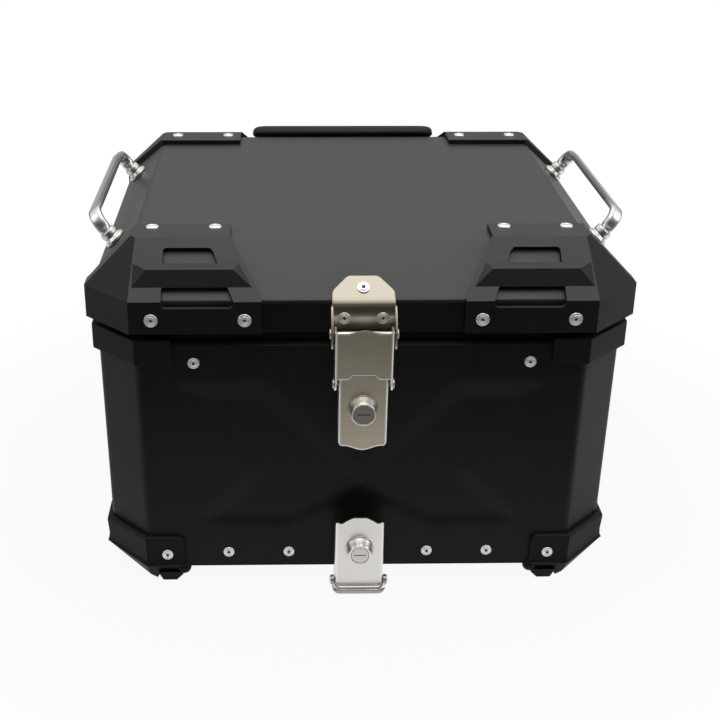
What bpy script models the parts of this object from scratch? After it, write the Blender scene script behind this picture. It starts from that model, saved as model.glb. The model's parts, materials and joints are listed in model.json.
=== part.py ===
# Motorcycle top case: an octagonal aluminium box with a hinged lid, moulded corner guards,
# strap loops, grab handles, an over-centre lid latch and a base latch. Metres, +Z up.
# The front of the case faces -Y. Z is zero under the feet.
import math

import bmesh
import bpy
from mathutils import Vector

CASE_NAME = "top_case"

# Gap left between pieces that touch
GAP = 0.0003
SHEET = 0.0015

# Body box
BODY_HALF_X = 0.2085
BODY_HALF_Y = 0.1995
BODY_CHAMFER = 0.034
BODY_WALL = 0.0018
BODY_TAPER = 0.009
BODY_BOTTOM = 0.013
BODY_TOP = 0.214
BODY_EDGE_RADIUS = 0.004

# Pressed cross on the front panel
RELIEF_HEIGHT = 0.0015
RELIEF_ARM_WIDTH = 0.060
RELIEF_HALF_SPAN = 0.098
RELIEF_TOP = 0.182
RELIEF_FOOT = 0.057
RELIEF_SLOPE = 0.008

# Bottom pan
PAN_FLANGE = 0.027
PAN_SHEET = 0.0015

# Rim frame round the mouth of the body
RIM_BAND_DEPTH = 0.0135
RIM_BAND_SHEET = 0.0008
RIM_WEB = 0.0017
RIM_LEG_DEPTH = 0.018
RIM_LEG_SHEET = 0.0025
RIM_TONGUE_INSET = 0.006
RIM_TONGUE_SHEET = 0.003
RIM_TONGUE_HEIGHT = 0.021

# Rim corner caps
CAP_THICKNESS = 0.003
CAP_REACH = 0.0268
CAP_LIP = 0.0052
CAP_SKIRT_DEPTH = 0.0138

# Base corner guards and feet
BASE_TOP = 0.0435
BASE_SHOULDER = 0.0415
BASE_WAIST = 0.025
BASE_FLARE = 0.0165
BASE_UNDERSIDE = 0.008
BASE_PROUD = 0.0042
BASE_WAIST_PROUD = 0.0036
BASE_UNDERCUT = 0.003
BASE_SHELF = 0.022
BASE_REACH = 0.030
FOOT_WIDTH = 0.0115
FOOT_DEPTH = 0.018
FOOT_TAPER = 0.003
FOOT_OFFSET = 0.0174

# Lid
LID_OVERHANG_X = 0.0035
LID_OVERHANG_Y = 0.0025
LID_CHAMFER = 0.035
LID_LIFT = 0.014
LID_SKIRT = 0.0243
LID_DROP = 0.0334
LID_RUN_X = 0.034
LID_RUN_Y = 0.044
LID_TOP_CORNER = 0.004
LID_WALL = 0.0018
LID_EDGE_RADIUS = 0.003
SEAL_DEPTH = 0.006
SEAL_OVERLAP = 0.002

# Lid corner guards with strap loops
GUARD_THICKNESS = 0.004
GUARD_FLANGE_DEPTH = 0.030
GUARD_FLANGE_LENGTH = 0.0746
GUARD_SKIRT_LENGTH = 0.0995
GUARD_SIDE_REACH = 0.014
RIDGE_RISE = 0.005
RIDGE_START = 0.41
RIDGE_PEAK = 0.56
RIDGE_END = 0.78
RIDGE_PEAK_INSET = 0.0107
RIDGE_PEAK_LENGTH = 0.0666
RIDGE_TOP_LENGTH = 0.0812
RIDGE_FOOT_LENGTH = 0.0915
LOOP_INSET = 0.0234
LOOP_UPPER_LENGTH = 0.0375
LOOP_SLANT = 0.0045
LOOP_TUNNEL_LIP = 0.0015
LOOP_LOWER_LENGTH = 0.0545
LOOP_UPPER_START = 0.17
LOOP_SKIRT_DEPTH = 0.0055
LOOP_BAR = 0.003
LOOP_BAR_EDGE = 0.0022

# Grab handles
HANDLE_HALF_SPAN = 0.094
HANDLE_DOWN_SLOPE = 0.62
HANDLE_STANDOFF = 0.028
HANDLE_LEAN = math.radians(36)
HANDLE_BEND = 0.012
HANDLE_HALF_WIDTH = 0.0066
HANDLE_HALF_THICKNESS = 0.0028
HANDLE_NECK_RADIUS = 0.0055
POST_FLANGE_RADIUS = 0.0095
POST_FLANGE_DEPTH = 0.004
POST_RADIUS = 0.0072
POST_HEIGHT = 0.011

# Lid hinges
HINGE_STATION = 0.048
HINGE_WIDTH = 0.044
HINGE_KNUCKLE = 0.016
HINGE_RADIUS = 0.004
HINGE_PIN_RADIUS = 0.0018
HINGE_STANDOFF = 0.007
HINGE_DROP = 0.0055
HINGE_LEAF_UP = 0.022
HINGE_LEAF_DOWN = 0.026
HINGE_PIN_CLEARANCE = 0.0002

# Back pad
PAD_HALF_WIDTH = 0.091
PAD_RISE = 0.0075
PAD_THICKNESS = 0.013
PAD_DOWN_SLOPE = 0.82

# Lid latch: bracket, link, lever
LATCH_HALF_WIDTH = 0.024
BRACKET_TOP_HALF_WIDTH = 0.0117
BRACKET_SHOULDER = 0.84
BRACKET_TOP = 0.59
BRACKET_FOOT = 0.0012
EAR_LENGTH = 0.013
EAR_RADIUS = 0.0055
LATCH_PIN_RADIUS = 0.002
LATCH_PIN_CLEARANCE = 0.00025
LATCH_HEAD_RADIUS = 0.0042
LATCH_HEAD_DEPTH = 0.0015
LATCH_UPPER_STANDOFF = 0.0112
LATCH_UPPER_RISE = 0.003
LINK_PLATE_STANDOFF = 0.022
LINK_HALF_WIDTH = 0.0225
LINK_TOP_RISE = 0.0072
LINK_ARCH = 0.0024
LINK_FOOT_DROP = 0.0306
LINK_NOTCH = 0.003
LATCH_LOWER_DROP = 0.037
LATCH_LOWER_INSET = 0.007
LEVER_HALF_WIDTH = 0.0193
LEVER_CHEEK_DEPTH = 0.0125
LEVER_TOP_RISE = 0.008
LEVER_LENGTH = 0.0515
LEVER_BULGE = 0.0034

# Lid lock, on the lever
LOCK_DROP = 0.020
LOCK_BASE_RADIUS = 0.0118
LOCK_FACE_RADIUS = 0.0087
LOCK_REACH = 0.009
LOCK_BASE_DEPTH = 0.0022
LOCK_PLUG_RADIUS = 0.0078
LOCK_PLUG_DEPTH = 0.003
LOCK_BARREL_RADIUS = 0.008
LOCK_BARREL_LENGTH = 0.0085
LOCK_STEM_RADIUS = 0.0032
LOCK_CLEARANCE = 0.0003
LOCK_NUT_RADIUS = 0.0115
LOCK_NUT_DEPTH = 0.004
LOCK_SLOT_LENGTH = 0.010
LOCK_SLOT_WIDTH = 0.0009
LOCK_SLOT_DEPTH = 0.0015
CAM_LENGTH = 0.012
CAM_HALF_WIDTH = 0.0042
CAM_SHEET = 0.0016

# Keeper on the body, behind the lever
KEEPER_HALF_WIDTH = 0.0155
KEEPER_HALF_HEIGHT = 0.011
KEEPER_SLOT = 0.0066
KEEPER_CAM_GAP = 0.0012

# Base latch: bracket, lever, stirrup
BASE_LATCH_STANDOFF = 0.0208
BASE_LEVER_HALF_WIDTH = 0.0199
BASE_LEVER_BOTTOM = 0.0055
BASE_LEVER_TOP = 0.0678
BASE_LEVER_WAVE = 0.0035
BASE_LEVER_DIP = 0.002
BASE_CHEEK_DEPTH = 0.013
BASE_PIVOT_INSET = 0.011
BASE_PIVOT_HEIGHT = 0.014
BASE_EAR_RADIUS = 0.005
BASE_BRACKET_GAP = 0.0016
BASE_PLATE_BOTTOM = 0.018
BASE_PLATE_TOP = 0.052
STIRRUP_INSET = 0.0037
STIRRUP_HEIGHT = 0.010
STIRRUP_BOTTOM = 0.0015
STIRRUP_SHEET = 0.002
STIRRUP_HALF_WIDTH = 0.0224
STIRRUP_FRONT = 0.0092
STIRRUP_BAR_DEPTH = 0.004
STIRRUP_BAR_HEIGHT = 0.0042
STIRRUP_EYE_RADIUS = 0.0042
STIRRUP_PIN_RADIUS = 0.0018
BASE_LOCK_HEIGHT = 0.0415
BASE_LOCK_BASE_RADIUS = 0.0112
BASE_LOCK_FACE_RADIUS = 0.0080
BASE_LOCK_REACH = 0.009
BASE_LOCK_PLUG_RADIUS = 0.0071

# Hooks under the back edge, which hold the case down on a rack plate
HOOK_HALF_SPACING = 0.070
HOOK_HALF_WIDTH = 0.012
HOOK_SHEET = 0.003
HOOK_DROP = 0.0118
HOOK_TOE = 0.014
HOOK_PLATE = 0.026
HOOK_SETBACK = 0.045

ROUND_STEPS = 24
SMALL_STEPS = 16

# Values worked out from the sizes above
OCTAGON_SHRINK = 2.0 - math.sqrt(2.0)
LID_BOTTOM = BODY_TOP + LID_LIFT
LID_HALF_X = BODY_HALF_X + LID_OVERHANG_X
LID_HALF_Y = BODY_HALF_Y + LID_OVERHANG_Y
LID_CREASE = LID_BOTTOM + LID_SKIRT
LID_TOP = LID_CREASE + LID_DROP
LID_TOP_HALF_X = LID_HALF_X - LID_RUN_X
LID_TOP_HALF_Y = LID_HALF_Y - LID_RUN_Y
SLOPE_X = math.atan2(LID_DROP, LID_RUN_X)
SLOPE_Y = math.atan2(LID_DROP, LID_RUN_Y)
GUARD_OUT = GAP + GUARD_THICKNESS
CHAMFER_X = LID_HALF_X - LID_CHAMFER

HINGE_Y = LID_HALF_Y + HINGE_STANDOFF
HINGE_Z = LID_BOTTOM - HINGE_DROP
LINK_FRONT = -LID_HALF_Y - LINK_PLATE_STANDOFF
LATCH_UPPER_Y = -LID_HALF_Y - LATCH_UPPER_STANDOFF
LATCH_UPPER_Z = LID_BOTTOM + LATCH_UPPER_RISE
LATCH_LOWER_Y = LINK_FRONT + LATCH_LOWER_INSET
LATCH_LOWER_Z = LID_BOTTOM - LATCH_LOWER_DROP
LEVER_FRONT = LINK_FRONT + SHEET + GAP
LOCK_Z = LATCH_LOWER_Z - LOCK_DROP
LOCK_FACE_Y = LEVER_FRONT - GAP - LOCK_REACH
BASE_LEVER_FRONT = -BODY_HALF_Y - BASE_LATCH_STANDOFF + BODY_TAPER * (BODY_TOP - BODY_BOTTOM)
BASE_PIVOT_Y = BASE_LEVER_FRONT + BASE_PIVOT_INSET
STIRRUP_Y = BASE_LEVER_FRONT + STIRRUP_INSET
FRONT_REACH = -LOCK_FACE_Y
BACK_REACH = HINGE_Y + HINGE_RADIUS
CENTRING = (FRONT_REACH - BACK_REACH) / 2

# Finishes: colour, roughness, metallic
BLACK_COAT = ((0.020, 0.020, 0.019, 1.0), 0.48, 0.0)
BLACK_PLASTIC = ((0.024, 0.024, 0.023, 1.0), 0.55, 0.0)
SATIN_STEEL = ((0.46, 0.43, 0.37, 1.0), 0.34, 1.0)
BRIGHT_STEEL = ((0.72, 0.70, 0.67, 1.0), 0.30, 1.0)
POLISHED_ALLOY = ((0.82, 0.81, 0.79, 1.0), 0.16, 1.0)
LOCK_CHROME = ((0.74, 0.73, 0.70, 1.0), 0.18, 1.0)
SEAL_RUBBER = ((0.016, 0.016, 0.016, 1.0), 0.80, 0.0)
PAD_SKIN = ((0.022, 0.022, 0.022, 1.0), 0.62, 0.0)


def clear_scene():
    for thing in list(bpy.data.objects):
        bpy.data.objects.remove(thing, do_unlink=True)


def make_collection(name):
    collection = bpy.data.collections.new(name)
    bpy.context.scene.collection.children.link(collection)
    return collection


def make_pivot(name, place, parent=None):
    # An empty on a joint axis. Each pivot remembers its place in case coordinates.
    empty = bpy.data.objects.new(name, None)
    empty["place"] = place
    parts_collection.objects.link(empty)
    if parent is None:
        empty.location = place
    else:
        empty.parent = parent
        empty.location = Vector(place) - Vector(parent["place"])
    return empty


def make_finish(name, finish):
    colour, roughness, metallic = finish
    material = bpy.data.materials.new(name + "_finish")
    material.use_nodes = True
    shader = material.node_tree.nodes["Principled BSDF"]
    shader.inputs["Base Color"].default_value = colour
    shader.inputs["Roughness"].default_value = roughness
    shader.inputs["Metallic"].default_value = metallic
    return material


def link_part(thing, name, pivot, finish):
    parts_collection.objects.link(thing)
    thing.parent = pivot
    thing.data.materials.append(make_finish(name, finish))
    return thing


def link_cutter(thing, pivot):
    cutters_collection.objects.link(thing)
    thing.parent = pivot
    thing.hide_render = True
    thing.display_type = "WIRE"
    return thing


def mesh_object(name, shape, pivot):
    # The shape is drawn in case coordinates, and its mesh is moved so the origin is the pivot.
    bmesh.ops.recalc_face_normals(shape, faces=shape.faces)
    bmesh.ops.translate(shape, verts=shape.verts, vec=-Vector(pivot["place"]))
    mesh = bpy.data.meshes.new(name)
    shape.to_mesh(mesh)
    shape.free()
    return bpy.data.objects.new(name, mesh)


def part(name, shape, pivot, finish):
    return link_part(mesh_object(name, shape, pivot), name, pivot, finish)


def cutter(name, shape, pivot):
    return link_cutter(mesh_object(name, shape, pivot), pivot)


def combine(thing, other, operation):
    modifier = thing.modifiers.new(operation.title(), "BOOLEAN")
    modifier.operation = operation
    modifier.object = other


def cut(thing, *others):
    for other in others:
        combine(thing, other, "DIFFERENCE")


def join(thing, *others):
    for other in others:
        combine(thing, other, "UNION")


def round_edges(thing, radius, segments):
    modifier = thing.modifiers.new("Bevel", "BEVEL")
    modifier.width = radius
    modifier.segments = segments
    modifier.limit_method = "ANGLE"
    modifier.angle_limit = math.radians(15)


def round_corners(thing, radius):
    modifier = thing.modifiers.new("Bevel", "BEVEL")
    modifier.width = radius
    modifier.segments = 3
    modifier.limit_method = "WEIGHT"


def thicken(thing, thickness):
    modifier = thing.modifiers.new("Solidify", "SOLIDIFY")
    modifier.thickness = thickness
    modifier.offset = -1.0
    modifier.use_even_offset = True


def soften(thing, levels):
    modifier = thing.modifiers.new("Subdivision", "SUBSURF")
    modifier.levels = levels
    modifier.render_levels = levels


def shade(thing, angle=math.radians(40)):
    thing.data.shade_smooth()
    thing.data.set_sharp_from_angle(angle=angle)


def loft(rings, closed=False, caps=(True, True)):
    # Skin a row of rings that have the same number of points. The edges that run from ring
    # to ring are marked, so that the corners of an octagon can be rounded by themselves.
    shape = bmesh.new()
    weight = shape.edges.layers.float.new("bevel_weight_edge")
    rows = [[shape.verts.new(point) for point in ring] for ring in rings]
    count = len(rows[0])
    steps = len(rows) if closed else len(rows) - 1
    for step in range(steps):
        lower = rows[step]
        upper = rows[(step + 1) % len(rows)]
        for side in range(count):
            after = (side + 1) % count
            shape.faces.new((lower[side], lower[after], upper[after], upper[side]))
            shape.edges.get((lower[side], upper[side]))[weight] = 1.0
    for wanted, row in zip(caps, (rows[0], rows[-1])):
        if wanted and not closed:
            shape.faces.new(row)
    return shape


def octagon(half_x, half_y, chamfer, inset=0.0):
    half_x -= inset
    half_y -= inset
    chamfer -= inset * OCTAGON_SHRINK
    short_x = half_x - chamfer
    short_y = half_y - chamfer
    return [(-short_x, -half_y), (short_x, -half_y), (half_x, -short_y), (half_x, short_y),
            (short_x, half_y), (-short_x, half_y), (-half_x, short_y), (-half_x, -short_y)]


def body_ring(inset, height):
    return [(x, y, height) for x, y in octagon(BODY_HALF_X, BODY_HALF_Y, BODY_CHAMFER, inset)]


def body_lean(height):
    # How far the tapered wall has drawn in at this height
    return BODY_TAPER * (BODY_TOP - height)


def front_wall(height):
    return -BODY_HALF_Y + body_lean(height)


def lid_rings(out, bottom):
    # Bottom, crease and top outlines of the lid, moved outwards by one distance.
    half_x = LID_HALF_X + out
    half_y = LID_HALF_Y + out
    chamfer = LID_CHAMFER + out * OCTAGON_SHRINK
    crease = LID_CREASE + out * (1 - math.sin(SLOPE_Y)) / math.cos(SLOPE_Y)
    top_x = LID_TOP_HALF_X + out * (1 - math.cos(SLOPE_X)) / math.sin(SLOPE_X)
    top_y = LID_TOP_HALF_Y + out * (1 - math.cos(SLOPE_Y)) / math.sin(SLOPE_Y)
    skirt = octagon(half_x, half_y, chamfer)
    top = octagon(top_x, top_y, LID_TOP_CORNER)
    return [[(x, y, bottom) for x, y in skirt], [(x, y, crease) for x, y in skirt],
            [(x, y, LID_TOP + out) for x, y in top]]


def prism_x(outline, start, end):
    return loft([[(x, y, z) for y, z in outline] for x in (start, end)])


def prism_z(outline, start, end):
    return loft([[(x, y, z) for x, y in outline] for z in (start, end)])


def prism_y(outline, start, end):
    return loft([[(x, y, z) for x, z in outline] for y in (start, end)])


def block(low, high):
    (x0, y0, z0), (x1, y1, z1) = low, high
    return prism_z([(x0, y0), (x1, y0), (x1, y1), (x0, y1)], z0, z1)


def hull(points):
    shape = bmesh.new()
    for point in points:
        shape.verts.new(point)
    result = bmesh.ops.convex_hull(shape, input=shape.verts)
    spare = [item for item in result["geom_interior"] if isinstance(item, bmesh.types.BMVert)]
    bmesh.ops.delete(shape, geom=spare, context="VERTS")
    return shape


def arc(centre, radius, start, end, steps=8):
    angles = [math.radians(start + (end - start) * step / steps) for step in range(steps + 1)]
    return [(centre[0] + radius * math.cos(a), centre[1] + radius * math.sin(a)) for a in angles]


def rod_x(y, z, radius, start, end, steps=SMALL_STEPS):
    return prism_x(arc((y, z), radius, 0, 360 * (steps - 1) / steps, steps - 1), start, end)


def rod_y(x, z, radius, start, end, steps=ROUND_STEPS):
    return prism_y(arc((x, z), radius, 0, 360 * (steps - 1) / steps, steps - 1), start, end)


def turned(name, profile, place, axis, pivot, finish, steps=ROUND_STEPS):
    # A profile of (radius, height) turned about an axis. It runs down the outer side.
    mesh = bpy.data.meshes.new(name)
    points = [(radius, 0.0, height) for radius, height in profile]
    edges = [(i, i + 1) for i in range(len(points) - 1)]
    if min(radius for radius, height in profile) > 0:
        edges.append((len(points) - 1, 0))
    mesh.from_pydata(points, edges, [])
    thing = bpy.data.objects.new(name, mesh)
    link_part(thing, name, pivot, finish)
    thing.location = Vector(place) - Vector(pivot["place"])
    thing.rotation_euler = Vector((0, 0, 1)).rotation_difference(Vector(axis)).to_euler()
    modifier = thing.modifiers.new("Screw", "SCREW")
    modifier.steps = steps
    modifier.render_steps = steps
    modifier.use_merge_vertices = True
    modifier.merge_threshold = 0.00001
    modifier.use_smooth_shade = True
    return thing


def make_body():
    shape = loft([body_ring(body_lean(BODY_BOTTOM), BODY_BOTTOM), body_ring(0, BODY_TOP)], 
                 caps=(False, False))
    shell = part("body_shell", shape, case, BLACK_COAT)
    round_corners(shell, BODY_EDGE_RADIUS)
    thicken(shell, BODY_WALL)
    for turn in (-1, 1):
        join(shell, cutter("relief_bar", relief_bar(turn), case))
    shade(shell)


def relief_bar(turn):
    # One raised diagonal of the pressed cross, sunk half a wall into the panel.
    half_arm = RELIEF_ARM_WIDTH / 2
    rings = []
    for inset, rise in ((0.0, -BODY_WALL / 2), (0.0, 0.0), (RELIEF_SLOPE, RELIEF_HEIGHT)):
        ring = []
        for end, height in ((-1, RELIEF_TOP - inset / 2), (1, RELIEF_FOOT + inset / 2)):
            for side in (end, -end):
                reach = RELIEF_HALF_SPAN * end + (half_arm - inset) * side
                ring.append((turn * reach, front_wall(height) - rise, height))
        rings.append(ring)
    return loft(rings)


def make_bottom_pan():
    top = BODY_BOTTOM + PAN_FLANGE
    floor = BODY_BOTTOM + PAN_SHEET
    clear = BODY_WALL + GAP
    shape = loft([body_ring(body_lean(BODY_BOTTOM) + clear, BODY_BOTTOM),
                  body_ring(body_lean(top) + clear, top),
                  body_ring(body_lean(top) + clear + PAN_SHEET, top),
                  body_ring(body_lean(floor) + clear + PAN_SHEET, floor)])
    pan = part("bottom_pan", shape, case, BLACK_COAT)
    round_corners(pan, BODY_EDGE_RADIUS)


def make_rim_frame():
    # One extruded section: a band outside the wall, a web over its edge, a leg inside it,
    # and a tongue that stands up into the lid.
    outer = GAP + RIM_BAND_SHEET
    inner = BODY_WALL + GAP + body_lean(BODY_TOP - RIM_LEG_DEPTH)
    under_web = BODY_TOP + GAP
    web = under_web + RIM_WEB
    tongue_top = web + RIM_TONGUE_HEIGHT
    tongue_back = RIM_TONGUE_INSET + RIM_TONGUE_SHEET
    section = [(-outer, BODY_TOP - RIM_BAND_DEPTH), (-outer, web), (RIM_TONGUE_INSET, web),
               (RIM_TONGUE_INSET, tongue_top), (tongue_back, tongue_top),
               (tongue_back, under_web - RIM_WEB), (inner + RIM_LEG_SHEET, under_web - RIM_WEB),
               (inner + RIM_LEG_SHEET, BODY_TOP - RIM_LEG_DEPTH), (inner, BODY_TOP - RIM_LEG_DEPTH),
               (inner, under_web), (-GAP, under_web), (-GAP, BODY_TOP - RIM_BAND_DEPTH)]
    shape = loft([body_ring(inset, height) for inset, height in section], closed=True)
    rim = part("rim_frame", shape, case, BLACK_COAT)
    round_corners(rim, BODY_EDGE_RADIUS)


def corner_sweep(section, half_x, half_y, chamfer, reach, side_x, side_y):
    # Carry a section of (inset, height) round one corner, from the front face to the side face.
    rings = [[], [], [], []]
    for inset, height in section:
        x = half_x - inset
        y = half_y - inset
        short = chamfer - inset * OCTAGON_SHRINK
        stops = ((half_x - chamfer - reach, y), (x - short, y), (x, y - short), (x, half_y - chamfer - reach))
        for ring, stop in zip(rings, stops):
            ring.append((side_x * stop[0], side_y * stop[1], height))
    return loft(rings)


def each_corner():
    for side_y, end in ((-1, "front"), (1, "back")):
        for side_x, hand in ((-1, "left"), (1, "right")):
            yield f"{end}_{hand}", side_x, side_y


def make_rim_caps():
    band = GAP + RIM_BAND_SHEET + GAP
    web = BODY_TOP + GAP + RIM_WEB
    outer = band + CAP_THICKNESS
    lip_inset = RIM_TONGUE_INSET - GAP
    section = [(-outer, BODY_TOP - CAP_SKIRT_DEPTH), (-outer, web + GAP + CAP_LIP), (lip_inset, web + GAP + CAP_LIP),
               (lip_inset, web + GAP), (-band, web + GAP), (-band, BODY_TOP - CAP_SKIRT_DEPTH)]
    for corner, side_x, side_y in each_corner():
        shape = corner_sweep(section, BODY_HALF_X, BODY_HALF_Y, BODY_CHAMFER, CAP_REACH, side_x, side_y)
        part("rim_corner_" + corner, shape, case, BLACK_PLASTIC)


def make_base_corners():
    wall = body_lean(BASE_TOP)
    under = BODY_BOTTOM - GAP
    section = [(wall - GAP, BASE_TOP), (wall - BASE_PROUD, BASE_SHOULDER), (wall - BASE_WAIST_PROUD, BASE_WAIST),
               (wall - BASE_PROUD, BASE_FLARE), (wall + BASE_UNDERCUT, BASE_UNDERSIDE),
               (wall + BASE_SHELF, BASE_UNDERSIDE), (wall + BASE_SHELF, under), (wall - GAP, under)]
    for corner, side_x, side_y in each_corner():
        shape = corner_sweep(section, BODY_HALF_X, BODY_HALF_Y, BODY_CHAMFER, BASE_REACH, side_x, side_y)
        guard = part("base_corner_" + corner, shape, case, BLACK_PLASTIC)
        join(guard, cutter("foot", foot_block(side_x, side_y, wall), case))


def foot_block(side_x, side_y, wall):
    # A tapered foot under the front or back face of the guard, flat below
    x = BODY_HALF_X - BODY_CHAMFER - FOOT_OFFSET
    y = BODY_HALF_Y - wall + BASE_PROUD - FOOT_TAPER - FOOT_DEPTH / 2
    rings = []
    for spread, height in ((0.0, 0.0), (FOOT_TAPER, BASE_UNDERSIDE + GAP)):
        half_x = FOOT_WIDTH / 2 + spread
        half_y = FOOT_DEPTH / 2 + spread / 2
        corners = ((-half_x, -half_y), (half_x, -half_y), (half_x, half_y), (-half_x, half_y))
        rings.append([(side_x * (x + dx), side_y * (y + dy), height) for dx, dy in corners])
    return loft(rings)


def tongue_top():
    return BODY_TOP + GAP + RIM_WEB + RIM_TONGUE_HEIGHT


def make_lid():
    shape = loft(lid_rings(0.0, LID_BOTTOM), caps=(False, True))
    shell = part("lid_shell", shape, lid, BLACK_COAT)
    round_edges(shell, LID_EDGE_RADIUS, 3)
    thicken(shell, LID_WALL)
    shade(shell)


def make_lid_seal():
    low = tongue_top() + GAP
    high = low + SEAL_DEPTH
    outer = octagon(LID_HALF_X, LID_HALF_Y, LID_CHAMFER, LID_WALL + GAP)
    inset = RIM_TONGUE_INSET + RIM_TONGUE_SHEET + SEAL_OVERLAP
    inner = octagon(BODY_HALF_X, BODY_HALF_Y, BODY_CHAMFER, inset)
    rings = [[(x, y, z) for x, y in outline]
             for outline, z in ((outer, low), (outer, high), (inner, high), (inner, low))]
    seal = part("lid_seal", loft(rings, closed=True), lid, SEAL_RUBBER)
    round_corners(seal, LID_EDGE_RADIUS)


def slope_point(x, down, rise, out=0.0):
    # A point on the front slope of the lid: down is 0 at the top edge and 1 at the skirt,
    # and rise is the distance out of the slope. Front is positive Y here.
    skirt, crease, top = lid_rings(out, LID_BOTTOM)
    y0, z0 = -top[0][1], top[0][2]
    y1, z1 = -crease[0][1], crease[0][2]
    y = y0 + (y1 - y0) * down + rise * math.sin(SLOPE_Y)
    z = z0 + (z1 - z0) * down + rise * math.cos(SLOPE_Y)
    return x, y, z


def flipped(points, side_x, side_y):
    return [(side_x * x, side_y * y, z) for x, y, z in points]


def guard_inner_edge(down):
    # Distance from the middle of the case to the guard's inner edge, down the slope
    flange = CHAMFER_X - GUARD_FLANGE_LENGTH
    skirt = CHAMFER_X - GUARD_SKIRT_LENGTH
    return flange + (skirt - flange) * down


def guard_plan(side_x, side_y):
    # Outline of a corner guard seen from above, as a tall prism
    far_x = LID_HALF_X + 2 * LID_RUN_X
    far_y = LID_HALF_Y + 2 * LID_RUN_Y
    flange_y = LID_TOP_HALF_Y - GUARD_FLANGE_DEPTH
    side_reach = LID_HALF_Y - LID_CHAMFER - GUARD_SIDE_REACH
    outline = [(guard_inner_edge(0), flange_y), (guard_inner_edge(0), LID_TOP_HALF_Y),
               (guard_inner_edge(1), LID_HALF_Y), (guard_inner_edge(1), far_y), (far_x, far_y),
               (far_x, side_reach), (LID_HALF_X, side_reach), (LID_TOP_HALF_X, flange_y)]
    outline = [(side_x * x, side_y * y) for x, y in outline]
    return prism_z(outline, LID_BOTTOM - LID_SKIRT, LID_TOP + LID_DROP)


def ridge_points():
    # A hipped ridge across the slope, which becomes the bar of the strap loop
    start = CHAMFER_X - GUARD_THICKNESS / 6
    points = []
    for rise in (-GUARD_THICKNESS / 2, 0.0):
        for down, length in ((RIDGE_START, RIDGE_TOP_LENGTH), (RIDGE_END, RIDGE_FOOT_LENGTH)):
            points.append(slope_point(start, down, rise, GUARD_OUT))
            points.append(slope_point(start - length, down, rise, GUARD_OUT))
    for along in (RIDGE_PEAK_INSET, RIDGE_PEAK_INSET + RIDGE_PEAK_LENGTH):
        points.append(slope_point(start - along, RIDGE_PEAK, RIDGE_RISE, GUARD_OUT))
    return points


def loop_upper_points():
    # The inner side slants with the guard's inner edge
    far = LOOP_INSET + LOOP_UPPER_LENGTH
    points = []
    for along, down in ((LOOP_INSET, LOOP_UPPER_START), (LOOP_INSET, RIDGE_START), (far, LOOP_UPPER_START),
                        (far + LOOP_SLANT, RIDGE_START)):
        for rise in (-2 * GUARD_THICKNESS, GUARD_THICKNESS):
            points.append(slope_point(CHAMFER_X - along, down, rise, GUARD_OUT))
    return points


def loop_lower_points():
    far = LOOP_INSET + LOOP_LOWER_LENGTH
    points = []
    for along, start in ((LOOP_INSET, LOOP_INSET), (far, far - LOOP_SLANT)):
        x, y, z = slope_point(CHAMFER_X - along, 1.0, 0.0, GUARD_OUT)
        for rise in (-2 * GUARD_THICKNESS, GUARD_THICKNESS):
            points.append(slope_point(CHAMFER_X - start, RIDGE_END, rise, GUARD_OUT))
            points.append((x, y + rise, z - LOOP_SKIRT_DEPTH))
        points.append((x, y + GUARD_THICKNESS, z + GUARD_THICKNESS))
    return points


def loop_tunnel_points():
    # The way for a strap under the bar, from the upper window to the lower one
    under = -2 * GUARD_THICKNESS
    points = []
    for along in (LOOP_INSET, LOOP_INSET + LOOP_UPPER_LENGTH - LOOP_TUNNEL_LIP):
        x = CHAMFER_X - along
        for down, rise in ((LOOP_UPPER_START, under), (1.0, under), (RIDGE_START, -LOOP_BAR_EDGE),
                           (RIDGE_PEAK, RIDGE_RISE - LOOP_BAR), (RIDGE_END, -LOOP_BAR_EDGE)):
            points.append(slope_point(x, down, rise, GUARD_OUT))
    return points


def make_lid_guards():
    for corner, side_x, side_y in each_corner():
        guard = part("lid_corner_" + corner, loft(lid_rings(GUARD_OUT, LID_BOTTOM)), lid, BLACK_PLASTIC)
        core = loft(lid_rings(GAP, LID_BOTTOM - LID_SKIRT))
        combine(guard, cutter("guard_plan", guard_plan(side_x, side_y), lid), "INTERSECT")
        cut(guard, cutter("guard_core", core, lid))
        join(guard, cutter("guard_ridge", hull(flipped(ridge_points(), side_x, side_y)), lid))
        for name, points in (("loop_upper", loop_upper_points()), ("loop_lower", loop_lower_points()),
                             ("loop_tunnel", loop_tunnel_points())):
            cut(guard, cutter(name, hull(flipped(points, side_x, side_y)), lid))


def handle_frame(side_x):
    # Foot of a handle on the side slope, and the directions out of the slope and down it
    foot = Vector((side_x * (LID_TOP_HALF_X + LID_RUN_X * HANDLE_DOWN_SLOPE), 0.0,
                   LID_TOP - LID_DROP * HANDLE_DOWN_SLOPE))
    out = Vector((side_x * math.sin(SLOPE_X), 0.0, math.cos(SLOPE_X)))
    down = Vector((side_x * math.cos(SLOPE_X), 0.0, -math.sin(SLOPE_X)))
    return foot, out, down


def handle_path():
    # (along, out, tangent angle, flatness) from one post to the other
    bend = HANDLE_STANDOFF - HANDLE_BEND
    neck = GAP + POST_HEIGHT + GAP
    path = [(-HANDLE_HALF_SPAN, neck, 90, 0.0), (-HANDLE_HALF_SPAN, (neck + bend) / 2, 90, 0.25)]
    for along, height in arc((-HANDLE_HALF_SPAN + HANDLE_BEND, bend), HANDLE_BEND, 180, 90, 4):
        turn = math.degrees(math.atan2(height - bend, along + HANDLE_HALF_SPAN - HANDLE_BEND))
        path.append((along, height, turn - 90, 0.5 + (180 - turn) / 180))
    back = [(-along, height, -angle, flat) for along, height, angle, flat in reversed(path)]
    return path + back


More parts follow.
